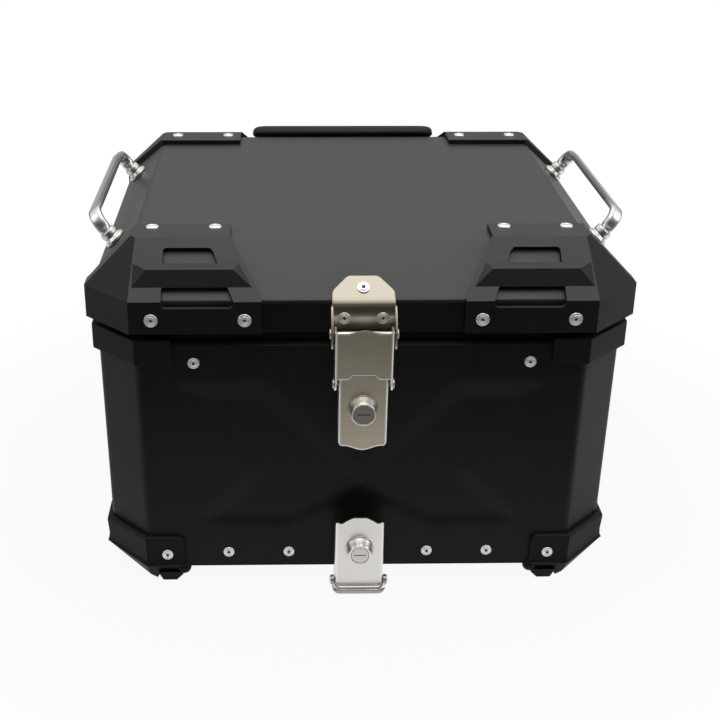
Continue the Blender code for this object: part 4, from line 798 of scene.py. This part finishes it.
def makeHandle(side, hand):
    foot, out = handleFrame(side)
    along, height, angle, flat = handlePath()
    neck, start, tilt = handle["neck"], handle["start"], math.radians(handle["lean"])
    phi = np.linspace(0, 2 * np.pi, handle["around"], endpoint=False)
    power = 2 + (handle["power"] - 2) * flat[:, None]
    wide = (neck + (handle["halfWidth"] - neck) * flat)[:, None] * squareOff(np.cos(phi), power)
    thin = (neck + (handle["halfThickness"] - neck) * flat)[:, None] * squareOff(np.sin(phi), power)
    # The ends lie square on their posts and the rest leans further up
    lean = slopeX + (tilt - slopeX) * softStep(flat / handle["leanBy"])[:, None]
    up = np.stack((side * np.sin(lean), 0 * lean, np.cos(lean)), 2)
    over = np.stack((side * np.cos(lean), 0 * lean, -np.sin(lean)), 2)
    turn = np.radians(angle)[:, None, None]
    lengthwise = np.array((0.0, 1.0, 0.0))
    normal = np.cos(turn) * up - np.sin(turn) * lengthwise
    rise = np.array((side * math.sin(tilt), 0.0, math.cos(tilt)))
    centre = foot + along[:, None] * lengthwise + start * out + (height - start)[:, None] * rise
    grid = closeEnds(centre[:, None, :] + wide[..., None] * over + thin[..., None] * normal)
    piece = pieceFromGrids("handle" + hand.capitalize(), [grid], "polishedAlloy", "lid", "polished_alloy")
    # The edge of the level run that looks to the lid is darkened: a painted reflection of the black lid
    place = pointPlaces(piece) - (foot + start * out + (handle["standoff"] - start) * rise)
    inward = -(place @ over[len(over) // 2, 0]) / handle["halfWidth"]
    inner = softStep((inward - handle["paintedDarkFrom"]) / handle["paintedDarkFade"])
    ends = softStep((handle["halfSpan"] - np.abs(place[:, 1])) / handle["paintedDarkEnd"])
    markPoints(piece, "paintedDarkMark", inner * ends)
    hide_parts("handle_" + hand)


def makePosts(side, hand):
    foot, out = handleFrame(side)
    flange, deep, collar, height = (post[key] for key in ("flange", "flangeDepth", "collar", "height"))
    profile = [(0, 0), (flange, 0), (flange, deep * 0.7), (collar + 0.0006, deep),
               (collar - 0.0007, deep + 0.0012), (collar, deep + 0.0022), (collar, height - 0.0006),
               (collar - 0.0008, height), (0, height)]
    profile = roundProfile(profile, post["round"])
    for sy, end in ((-1, "front"), (1, "back")):
        place = foot + out * post["gap"] + np.array((0, sy * handle["halfSpan"], 0))
        name = "post" + end.capitalize() + hand.capitalize()
        grid = turnGrid(profile, place, out, post["steps"])
        piece = pieceFromGrids(name, [grid], "polishedAlloy", "lid", "polished_alloy")
        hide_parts(f"handle_post_{end}_{hand}")


for side, hand in hands:
    makeHandle(side, hand)
    makePosts(side, hand)
print("handles made")


# Lock housings: a turned cone with a recess for the plug, and a barrel through the plate
lockSizes = dict(
    lock=dict(front=-0.2225, height=0.171, base=0.0120, face=0.0093, reach=0.009, plug=0.0078, body="lever"),
    base_lock=dict(front=-0.218791, height=0.0415, base=0.0119, face=0.0091, reach=0.009, plug=0.0071,
                   body="base_lever"),
)
lockBore = dict(baseDepth=0.0012, barrel=0.008, length=0.0085, stem=0.0035, plugDepth=0.0036, slack=0.0003,
                round=0.0005, steps=72)


def makeLockHousing(name, size):
    base, reach = size["base"], size["reach"]
    barrel, length, stem = (lockBore[key] for key in ("barrel", "length", "stem"))
    floor = reach - lockBore["plugDepth"]
    recess = size["plug"] + lockBore["slack"]
    profile = [(recess, floor), (recess, reach), (size["face"], reach), (base, lockBore["baseDepth"]),
               (base, 0), (barrel, 0), (barrel, -length), (stem, -length), (stem, floor), (recess, floor)]
    profile = roundProfile(profile, lockBore["round"])
    grid = turnGrid(profile, (0, size["front"] + caseShift, size["height"]), (0, -1, 0), lockBore["steps"])
    piece = pieceFromGrids(name + "Cone", [grid], "lockChrome", size["body"], "lock_chrome")
    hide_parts(name + "_housing")


for name, size in lockSizes.items():
    makeLockHousing(name, size)


# Cross pins with domed heads
pinSizes = dict(
    latch_upper_pin=dict(place=(-0.2132, 0.231), half=0.0268, radius=0.002, head=0.0042, body="lid"),
    latch_lower_pin=dict(place=(-0.217, 0.191), half=0.0243, radius=0.002, head=0.0042, body="link"),
    base_stirrup_pin=dict(place=(-0.214791, 0.010), half=0.0242, radius=0.0018, head=0.004,
                          body="base_lever"),
)
pinHead = dict(length=0.0015, rim=0.0004, dome=0.0011, domeSteps=8, steps=32)


def makeCrossPin(name, size):
    neck = size["half"] - pinHead["length"]
    t = np.linspace(0, np.pi / 2, pinHead["domeSteps"])
    dome = np.stack((size["head"] * np.cos(t), neck + pinHead["rim"] + pinHead["dome"] * np.sin(t)), 1)
    half = np.concatenate(([(size["radius"], neck), (size["head"], neck)], dome))
    profile = np.concatenate((half[::-1] * (1, -1), half))
    grid = turnGrid(profile, (0, size["place"][0] + caseShift, size["place"][1]), (1, 0, 0), pinHead["steps"])
    piece = pieceFromGrids(name + "_domed", [grid], "brightSteel", size["body"], "bright_steel")
    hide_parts(name)


for name, size in pinSizes.items():
    makeCrossPin(name, size)
print("locks and pins made")


# Bent plates: a U-shaped section of cheek, bend, front, bend and cheek, carried from a lower to an upper
# edge. The edges are given across the front by x, and down the cheeks by the depth behind the front.
# The last entry marks rows lighter towards the rims: partly wear, partly a painted highlight
sheet = dict(thickness=0.0015, cheekSteps=30, bendSteps=7, frontSteps=72, round=0.0004, least=0.0002,
             rim=(0.0, 0.0008, 0.0013), rimShare=(0.0, 0.2, 0.4), wearAndHighlightMark=(1.0, 0.9, 0.0, 0.0, 0.0, 0.9, 1.0))


def ear(d, place, sign):
    # The upper or lower half of a round end: its middle's depth and height, and its radius
    middle, height, radius = place
    return height + sign * np.sqrt(np.maximum(radius ** 2 - (d - middle) ** 2, 0))


def line(d, start, end):
    # A straight edge between two points of (depth, height)
    return start[1] + (d - start[0]) / (end[0] - start[0]) * (end[1] - start[1])


def bump(x, outer, inner, height):
    return height * softStep((outer - np.abs(x)) / (outer - inner))


def bow(x, half, height, power):
    return height * np.cos(np.pi / 2 * np.clip(np.abs(x) / half, 0, 1)) ** power


# Each of these gives the lower and upper edge of the front, then of the cheeks
def linkEdges(x, d):
    lowerEar, upperEar = (0.007, 0.191, 0.0055), (0.0108, 0.231, 0.0055)
    frontLow = 0.1974 + bump(x, 0.0122, 0.0085, 0.0031)
    frontHigh = 0.2352 + bow(x, 0.0121, 0.0025, 1.4)
    cheekLow = np.select([d < 0.0017, d < 0.0125, d < 0.01556],
                         [line(d, (0.0, 0.1974), (0.0017, 0.1896)), ear(d, lowerEar, -1),
                          line(d, (0.0125, 0.191), (0.01556, 0.22825))], ear(d, upperEar, -1))
    cheekHigh = np.where(d < 0.0122, line(d, (0.0, 0.2352), (0.0122, 0.2363)), ear(d, upperEar, 1))
    return frontLow, frontHigh, cheekLow, cheekHigh


def leverEdges(x, d):
    upperEar = (0.0052, 0.191, 0.0055)
    corner = 0.0034 * np.clip((np.abs(x) - 0.0159) / 0.0034, 0, 1) ** 2.4
    frontLow = 0.1395 - bow(x, 0.0146, 0.0036, 2) + corner
    frontHigh = 0.199 + 0 * x
    cheekLow = 0.1429 + np.clip((d - 0.007) / 0.0055, 0, 1) * 0.0076
    cheekHigh = np.select([d < 0.0052, d < 0.0107],
                          [line(d, (0.0, 0.199), (0.0052, 0.1965)), ear(d, upperEar, 1)],
                          line(d, (0.0107, 0.191), (0.0125, 0.180)))
    return frontLow, frontHigh, cheekLow, cheekHigh


def baseEdges(x, d):
    lowerEar = (0.011, 0.014, 0.005)
    dips = 0.002 * np.sin(np.pi * np.clip((np.abs(x) - 0.0103) / 0.0096, 0, 1)) ** 2
    frontLow = 0.0055 + 0.004 * (1 - np.sqrt(1 - np.clip((np.abs(x) - 0.0159) / 0.004, 0, 1) ** 2))
    frontHigh = 0.0678 + bump(x, 0.0128, 0.0042, 0.0034) - dips
    cheekLow = np.where(d < 0.0101, line(d, (0.0, 0.0095), (0.0101, 0.0091)), ear(d, lowerEar, -1))
    cheekHigh = np.select([d < 0.002, d < 0.005, d < 0.013],
                          [line(d, (0.0, 0.0678), (0.002, 0.0638)), 0.0638 + 0 * d,
                           line(d, (0.005, 0.0638), (0.013, 0.0465))],
                          line(d, (0.013, 0.0465), (0.0157, 0.0157)))
    return frontLow, frontHigh, cheekLow, cheekHigh


plates = dict(
    latch_link=dict(half=0.0225, front=-0.224, depth=0.0163, bend=0.0027, edges=linkEdges, body="link",
                    slot="satin_steel", finish="satinSteel"),
    latch_lever=dict(half=0.0193, front=-0.2222, depth=0.0125, bend=0.0026, edges=leverEdges, body="lever",
                     slot="satin_steel", finish="satinSteel"),
    base_lever=dict(half=0.0199, front=-0.218491, depth=0.0155, bend=0.0026, edges=baseEdges,
                    body="base_lever", slot="bright_steel", finish="brightSteel"),
)


def makePlate(node, size):
    half, bend, depth = size["half"], size["bend"], size["depth"]
    cheek = depth - (depth - bend) * (1 - np.cos(np.linspace(0, np.pi, sheet["cheekSteps"]))) / 2
    turn = np.linspace(0, np.pi / 2, sheet["bendSteps"] + 2)[1:-1]
    front = np.linspace(-half + bend, half - bend, sheet["frontSteps"])
    left = np.concatenate((np.full(cheek.size, -half), -half + bend - bend * np.cos(turn)))
    behind = np.concatenate((cheek, bend - bend * np.sin(turn)))
    x = np.concatenate((left, front, -left[::-1]))
    d = np.concatenate((behind, 0 * front, behind[::-1]))
    frontLow, frontHigh, cheekLow, cheekHigh = size["edges"](x, d)
    startLow, startHigh = size["edges"](x, 0 * d)[2:]
    low = frontLow + cheekLow - startLow
    high = np.maximum(frontHigh + cheekHigh - startHigh, low + sheet["least"])
    rim = np.minimum(np.array(sheet["rim"])[:, None], (high - low) * np.array(sheet["rimShare"])[:, None])
    z = np.concatenate((low + rim, (low + high)[None] / 2, (high - rim)[::-1]))
    y = d + size["front"] + caseShift
    grid = np.stack((np.broadcast_to(x, z.shape), np.broadcast_to(y, z.shape), z), 2)
    piece = pieceFromGrids(node + "_bent", [grid], size["finish"], size["body"], size["slot"],
                           wrapColumns=False, merge=False)
    # The rims and the bends are marked lighter: partly wear, partly a painted highlight along the edges
    bends = softStep((np.abs(x) - half + bend) / (0.4 * bend))
    markPoints(piece, "wearAndHighlightMark", np.maximum(np.array(sheet["wearAndHighlightMark"])[:, None], bends))
    addWall(piece, sheet["thickness"])
    roundEdges(piece, sheet["round"], angle=50.0)
    evenNormals(piece)
    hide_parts(node)


for node, size in plates.items():
    makePlate(node, size)
print("bent plates made")


# Stirrup: a bar with two arms. A rounded section follows a path in x and z, which leans forward as it goes
# down.
stirrup = dict(half=0.0214, top=0.0105, low=0.0037, corner=0.0062, back=-0.2150, front=-0.2218, arm=0.0010,
               bar=0.0022, depth=0.0022, power=4, armSteps=4, turnSteps=11, barSteps=7, around=28)
stirrupEye = dict(pin=(-0.214791, 0.010), radius=0.0042, hole=0.0021, half=0.001, round=0.0004, steps=32)


def stirrupPath():
    # Place across, height and heading for one half, then its mirror image
    half, low, corner = (stirrup[key] for key in ("half", "low", "corner"))
    arms, turns, bars = (stirrup[key] for key in ("armSteps", "turnSteps", "barSteps"))
    turn = np.linspace(np.pi, 1.5 * np.pi, turns + 1)[1:]
    level = np.linspace(-half + corner, 0, bars + 1)[1:]
    x = np.concatenate((np.full(arms, -half), -half + corner + corner * np.cos(turn), level))
    z = np.concatenate((np.linspace(stirrup["top"], low + corner, arms), low + corner + corner * np.sin(turn),
                        np.full(bars, low)))
    heading = np.concatenate((np.full(arms, 1.5 * np.pi), turn + np.pi / 2, np.full(bars, 2 * np.pi)))
    return mirrored(x, -1), mirrored(z, 1), mirrored(heading, -1)


def makeStirrup():
    x, z, heading = stirrupPath()
    down = softStep((stirrup["top"] - z) / (stirrup["top"] - stirrup["low"]))
    y = stirrup["back"] + (stirrup["front"] - stirrup["back"]) * down
    thick = stirrup["arm"] + (stirrup["bar"] - stirrup["arm"]) * down
    phi = np.linspace(0, 2 * np.pi, stirrup["around"], endpoint=False)
    across, deep = (squareOff(wave, stirrup["power"])[:, None] for wave in (np.cos(phi), np.sin(phi)))
    side = np.stack((-np.sin(heading), np.zeros(len(heading)), np.cos(heading)), 1)
    centre = np.stack((x, y + caseShift, z), 1)
    grid = closeEnds(centre[:, None, :] + thick[:, None, None] * across * side[:, None, :]
                     + stirrup["depth"] * deep * np.array((0.0, 1.0, 0.0)))
    piece = pieceFromGrids("stirrupBar", [grid], "stirrupSteel", "stirrup", "bright_steel")
    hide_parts("base_stirrup")
    # Eyes: a flat ring round the pin at the head of each arm
    hole, radius, half = (stirrupEye[key] for key in ("hole", "radius", "half"))
    ring = np.array([(hole, -half), (radius, -half), (radius, half), (hole, half), (hole, -half)])
    place = (0.0, stirrupEye["pin"][0] + caseShift, stirrupEye["pin"][1])
    eyes = [turnGrid(ring + (0.0, side * stirrup["half"]), place, (1, 0, 0), stirrupEye["steps"])
            for side, hand in hands]
    piece = pieceFromGrids("stirrupEyes", eyes, "stirrupSteel", "stirrup", "bright_steel")
    roundEdges(piece, stirrupEye["round"], angle=30.0)
    evenNormals(piece)


makeStirrup()
print("stirrup made")


# A point of the lid's back slope: a share of the way down it, and a rise off it
def slopePoint(down, rise):
    y = lid["topHalfY"] + (lid["halfY"] - lid["topHalfY"]) * down + rise * math.sin(slopeY)
    z = lid["top"] + (lid["crease"] - lid["top"]) * down + rise * math.cos(slopeY)
    return y, z


# The same on the front slope
def slopeFront(down, rise):
    y, z = slopePoint(down, rise)
    return np.stack((-y, z), -1)


# Back pad: a rounded section across the slope, carried from side to side, with full rounded ends
pad = dict(halfWidth=0.091, footWidth=0.078, rise=0.0075, thickness=0.013, down=0.82, stations=90, gap=0.0006,
           belly=1.12, endShare=0.35, endPower=26)


def smoothLoop(points, times):
    # Corner cutting: each side of the closed outline gives points a quarter and three quarters along it
    for step in range(times):
        after = np.roll(points, -1, axis=0)
        cut = np.stack((points * 0.75 + after * 0.25, points * 0.25 + after * 0.75), 1)
        points = cut.reshape(-1, points.shape[1])
    return points


def makePad():
    # The section's corners: y, z, and a share of the way from the foot's width to the full width
    down, thickness = pad["down"], pad["thickness"]
    topY = lid["topHalfY"] + thickness / 3
    crown = lid["top"] + pad["rise"]
    section = np.array([(*slopePoint(0.0, pad["gap"]), 1.0), (*slopePoint(down, pad["gap"]), 0.0),
                        (*slopePoint(down, thickness), 0.0),
                        (*slopePoint(down / 2, thickness * pad["belly"]), 0.5),
                        (topY + thickness, crown, 1.0), (topY, crown, 1.0)])
    section = smoothLoop(section, 4)
    centre = section[:, :2].mean(0)
    across = np.sin(np.linspace(-np.pi / 2, np.pi / 2, pad["stations"]))
    squeeze = np.maximum(1 - np.abs(across) ** pad["endPower"], 0) ** 0.5
    scale = pad["endShare"] + (1 - pad["endShare"]) * squeeze
    width = pad["footWidth"] + (pad["halfWidth"] - pad["footWidth"]) * section[:, 2]
    yz = centre + (section[None, :, :2] - centre) * scale[:, None, None]
    grid = np.concatenate(((across[:, None] * width)[..., None], yz), 2) + toCase
    piece = pieceFromGrids("backPad", [closeEnds(grid)], "padSkin", "lid", "pad_skin")
    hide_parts("back_pad")


makePad()
print("pad made")


# Latch bracket: a sheet that comes down the slope, turns over a lip and runs down the skirt as a shallow
# trough. Each row across has its own half width, and the section closes round the back of the sheet.
bracket = dict(out=0.0018, back=0.0004, top=0.59, shoulder=0.84, topHalf=0.0122, half=0.024, foot=0.2292,
               trough=0.0007, lip=0.0003, creaseGap=0.0002, fallSteps=40, acrossSteps=25, round=0.0003)
# Shares of the way down the upright: where it falls back, comes forward again, begins to be marked, is
# brightest with painted highlight and is darkest with painted shade. The last is the strength of the painted
# shade above its darkest part.
trough = dict(backFrom=0.42, backOver=0.24, forthFrom=0.72, forthOver=0.28, markFrom=0.05, markOver=0.12,
              brightAt=0.55, brightOver=0.15, darkFrom=0.6, darkOver=0.15, paintedDark=0.75)
# Ears: y and z of the outline, in case coordinates, and x of the two faces
bracketEar = dict(backEdge=((-0.20305, 0.2508), (-0.20305, 0.2307)), pin=(-0.2132, 0.2235), radius=0.0055,
                  frontEdge=((-0.2187, 0.2365), (-0.2078, 0.2508)), faces=(0.0235, 0.025), round=0.0004,
                  steps=14)
bracketRivet = dict(spot=0.787, slopeRadius=0.0051, sideX=0.0148, sideZ=0.240, sideRadius=0.0048, lift=0.0001)


def bracketSection():
    # The outer and the inner line of the sheet from the top down, in y and z, and the half width of each row
    top, shoulder, topHalf, half = (bracket[key] for key in ("top", "shoulder", "topHalf", "half"))
    share = np.concatenate(([top, top + 0.012, top + 0.03], np.linspace(top + 0.05, shoulder - 0.03, 6),
                            [shoulder - 0.01, shoulder + 0.02, 0.93, 0.985]))
    width = np.interp(share, (top, top + 0.03, shoulder - 0.02, shoulder + 0.03),
                      (topHalf - 0.0016, topHalf + 0.0011, half - 0.0010, half))
    fall = np.linspace(0, 1, bracket["fallSteps"])
    # The upright is flat at first, falls back in its lower middle and comes forward again at its foot
    hollow = softStep((fall - trough["backFrom"]) / trough["backOver"])
    hollow = hollow * (1 - softStep((fall - trough["forthFrom"]) / trough["forthOver"]))
    face = -lid["halfY"] - bracket["out"] - bracket["lip"] + bracket["trough"] * hollow
    level = lid["crease"] - bracket["creaseGap"] + (bracket["foot"] - lid["crease"]) * fall
    back = np.full(fall.size, -lid["halfY"] - bracket["back"])
    outer = np.concatenate((slopeFront(share, bracket["out"]), np.stack((face, level), 1)))
    inner = np.concatenate((slopeFront(share, bracket["back"]), np.stack((back, level), 1)))
    return outer, inner, np.concatenate((width, np.full(fall.size, half)))


def thereAndBack(values):
    # There along the outside and back along the inside
    return np.concatenate((values, values[::-1]))


def makeBracket():
    outer, inner, width = bracketSection()
    loop = np.concatenate((outer, inner[::-1]))[:, None]
    middle = thereAndBack((outer + inner) / 2)[:, None]
    count = bracket["acrossSteps"]
    x = thereAndBack(width)[:, None] * np.concatenate(([-1], np.linspace(-1, 1, count), [1]))
    yz = np.concatenate((middle, np.repeat(loop, count, 1), middle), 1)
    grid = np.concatenate((x[..., None], yz), 2) + toCase
    piece = pieceFromGrids("bracketSheet", [grid], "bracketSteel", "lid", "satin_steel", wrapRows=True,
                           wrapColumns=False)
    # The trough has a painted highlight where it falls back, and painted shade under the lip and at its foot
    deep = np.clip((lid["crease"] - pointPlaces(piece)[:, 2]) / (lid["crease"] - bracket["foot"]), 0, 1)
    upright = softStep((deep - trough["markFrom"]) / trough["markOver"])
    bright = np.exp(-((deep - trough["brightAt"]) / trough["brightOver"]) ** 2)
    darker = (1 - trough["paintedDark"]) * softStep((deep - trough["darkFrom"]) / trough["darkOver"])
    markPoints(piece, "wearAndHighlightMark", bright * upright)
    markPoints(piece, "paintedDarkMark", (trough["paintedDark"] + darker) * (1 - bright) * upright)
    roundEdges(piece, bracket["round"], angle=40.0)
    evenNormals(piece)
    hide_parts("latch_bracket")


# Bracket ears: a flat outline with a round end, given a thickness
def makeBracketEars():
    turn = np.linspace(0, -np.pi, bracketEar["steps"])
    end = bracketEar["pin"] + bracketEar["radius"] * np.stack((np.cos(turn), np.sin(turn)), 1)
    outline = np.concatenate((bracketEar["backEdge"], end, bracketEar["frontEdge"]))
    grids = []
    for side, hand in hands:
        rows = [np.column_stack((np.full(len(outline), side * x), outline)) for x in bracketEar["faces"]]
        grids.append(closeEnds(np.array(rows)) + toCase)
    piece = pieceFromGrids("bracketEars", grids, "satinSteel", "lid", "satin_steel")
    roundEdges(piece, bracketEar["round"], angle=50.0)
    evenNormals(piece)


# Bracket rivets: one on the sloped plate, two on the upright one
def makeBracketRivets():
    size = bracketRivet
    off = (0, -math.sin(slopeY), math.cos(slopeY))
    places = [((0.0, *slopeFront(size["spot"], bracket["out"])), off, size["slopeRadius"])]
    y = -lid["halfY"] - bracket["out"] - size["lift"]
    places += [((side * size["sideX"], y, size["sideZ"]), (0, -1, 0), size["sideRadius"])
               for side, hand in hands]
    makeRivets("bracketRivets", places, "lid")


makeBracket()
makeBracketEars()
makeBracketRivets()
print("bracket made")


# Studio: a pale table, a white background and soft lamps. A level is a brightness. A pair is a range of
# places on the table, or of directions in the room, over which the brightness changes.
studio = dict(tableRadius=0.62, tableHeight=-0.0002, tableColour=(0.55, 0.55, 0.545), near=0.30, far=0.58,
              shadow=0.93, nearLevel=0.84, farLevel=0.25, leftLevel=0.75, rightLevel=1.1, sides=(0.27, 0.46),
              leftToRight=(-0.2, 0.2), glossShare=0.9, rings=6, around=96)
room = dict(frontLevel=0.13, backLevel=0.95, topLevel=0.95, fill=0.55, dip=0.25, frontToBack=(-0.6, 0.5),
            overhead=(0.3, 0.95), aboveDip=(0.20, 0.50), belowDip=(-0.14, 0.02))


def startTree(owner):
    owner.use_nodes = True
    owner.node_tree.nodes.clear()
    return owner.node_tree


def lightRays(tree):
    path = tree.nodes.new("ShaderNodeLightPath")
    seen = addMath(tree, "MAXIMUM", path.outputs["Is Camera Ray"], path.outputs["Is Transmission Ray"])
    return seen, path.outputs["Is Glossy Ray"]


def makeTable():
    # A flat disc: rings of points round the middle. It glows white to the camera and keeps a soft shadow near
    # the case.
    radius = np.linspace(studio["tableRadius"], 0.0, studio["rings"])[:, None]
    angle = np.linspace(0, 2 * np.pi, studio["around"], endpoint=False)
    height = np.full((studio["rings"], studio["around"]), studio["tableHeight"])
    grid = np.stack((radius * np.cos(angle), radius * np.sin(angle), height), 2)
    mesh = gridMesh("table", [grid], merge=False)
    table = bpy.data.objects.new("table", mesh)
    bpy.context.scene.collection.objects.link(table)
    material = bpy.data.materials.new("tablePale")
    tree = startTree(material)
    seen, glossy = lightRays(tree)
    place = coordinate(tree, "Object")
    away = addNode(tree, "ShaderNodeVectorMath", {"operation": "LENGTH"}, Vector=place).outputs["Value"]
    x = splitVector(tree, place)[0]
    sides = addRamp(tree, addMath(tree, "ABSOLUTE", x), *studio["sides"])
    sideLevel = addRamp(tree, x, *studio["leftToRight"], studio["leftLevel"], studio["rightLevel"])
    spread = (away, studio["near"], studio["far"])
    level = addBlend(tree, sides, addRamp(tree, *spread, studio["nearLevel"], studio["farLevel"]), sideLevel)
    glow = addNode(tree, "ShaderNodeEmission", Strength=addBlend(tree, glossy, 1.0, level))
    diffuse = addNode(tree, "ShaderNodeBsdfDiffuse", Color=(*studio["tableColour"], 1.0))
    direct = addMath(tree, "MULTIPLY", seen, addRamp(tree, *spread, studio["shadow"], 1.0))
    share = addMath(tree, "ADD", direct, addMath(tree, "MULTIPLY", glossy, studio["glossShare"]))
    mix = tree.nodes.new("ShaderNodeMixShader")
    for socket, value in zip(mix.inputs, (share, diffuse.outputs[0], glow.outputs[0])):
        setInput(tree, socket, value)
    addNode(tree, "ShaderNodeOutputMaterial", Surface=mix.outputs[0])
    mesh.materials.append(material)


def makeWorld():
    # Brighter behind and above the case than in front of it, and plain white to the camera
    world = bpy.data.worlds.new("studioWorld")
    bpy.context.scene.world = world
    tree = startTree(world)
    seen, glossy = lightRays(tree)
    x, y, z = splitVector(tree, coordinate(tree, "Generated"))
    depth = addRamp(tree, y, *room["frontToBack"], room["frontLevel"], room["backLevel"])
    height = addRamp(tree, z, *room["overhead"])
    clear = addMath(tree, "MAXIMUM", addRamp(tree, z, *room["aboveDip"], room["dip"], 1.0),
                    addRamp(tree, z, *room["belowDip"], 1.0, room["dip"]))
    level = addBlend(tree, height, addMath(tree, "MULTIPLY", depth, clear), room["topLevel"])
    lit = addBlend(tree, glossy, addMath(tree, "MULTIPLY", level, room["fill"]), level)
    background = addNode(tree, "ShaderNodeBackground", Color=(1.0, 1.0, 1.0, 1.0),
                         Strength=addBlend(tree, seen, lit, 1.0))
    addNode(tree, "ShaderNodeOutputWorld", Surface=background.outputs[0])


# Lamps: place, aim, size and power of each soft box
lamps = dict(
    overhead=dict(place=(0.0, -0.15, 1.75), aim=(0.0, 0.0, 0.15), size=1.55, power=9.5),
    leftSide=dict(place=(-1.5, -0.4, 0.9), aim=(0.0, 0.0, 0.15), size=0.9, power=4.0),
    rightSide=dict(place=(1.5, -0.4, 0.9), aim=(0.0, 0.0, 0.15), size=0.9, power=7.0),
)


def makeLamps():
    for name, lamp in lamps.items():
        data = bpy.data.lights.new(name, "AREA")
        data.shape = "DISK"
        data.size = lamp["size"]
        data.energy = lamp["power"]
        light = bpy.data.objects.new(name, data)
        bpy.context.scene.collection.objects.link(light)
        light.location = lamp["place"]
        heading = Vector(lamp["aim"]) - Vector(lamp["place"])
        light.rotation_euler = heading.to_track_quat("-Z", "Y").to_euler()


makeTable()
makeWorld()
makeLamps()
bpy.context.scene.view_settings.view_transform = "Standard"
print("studio made")
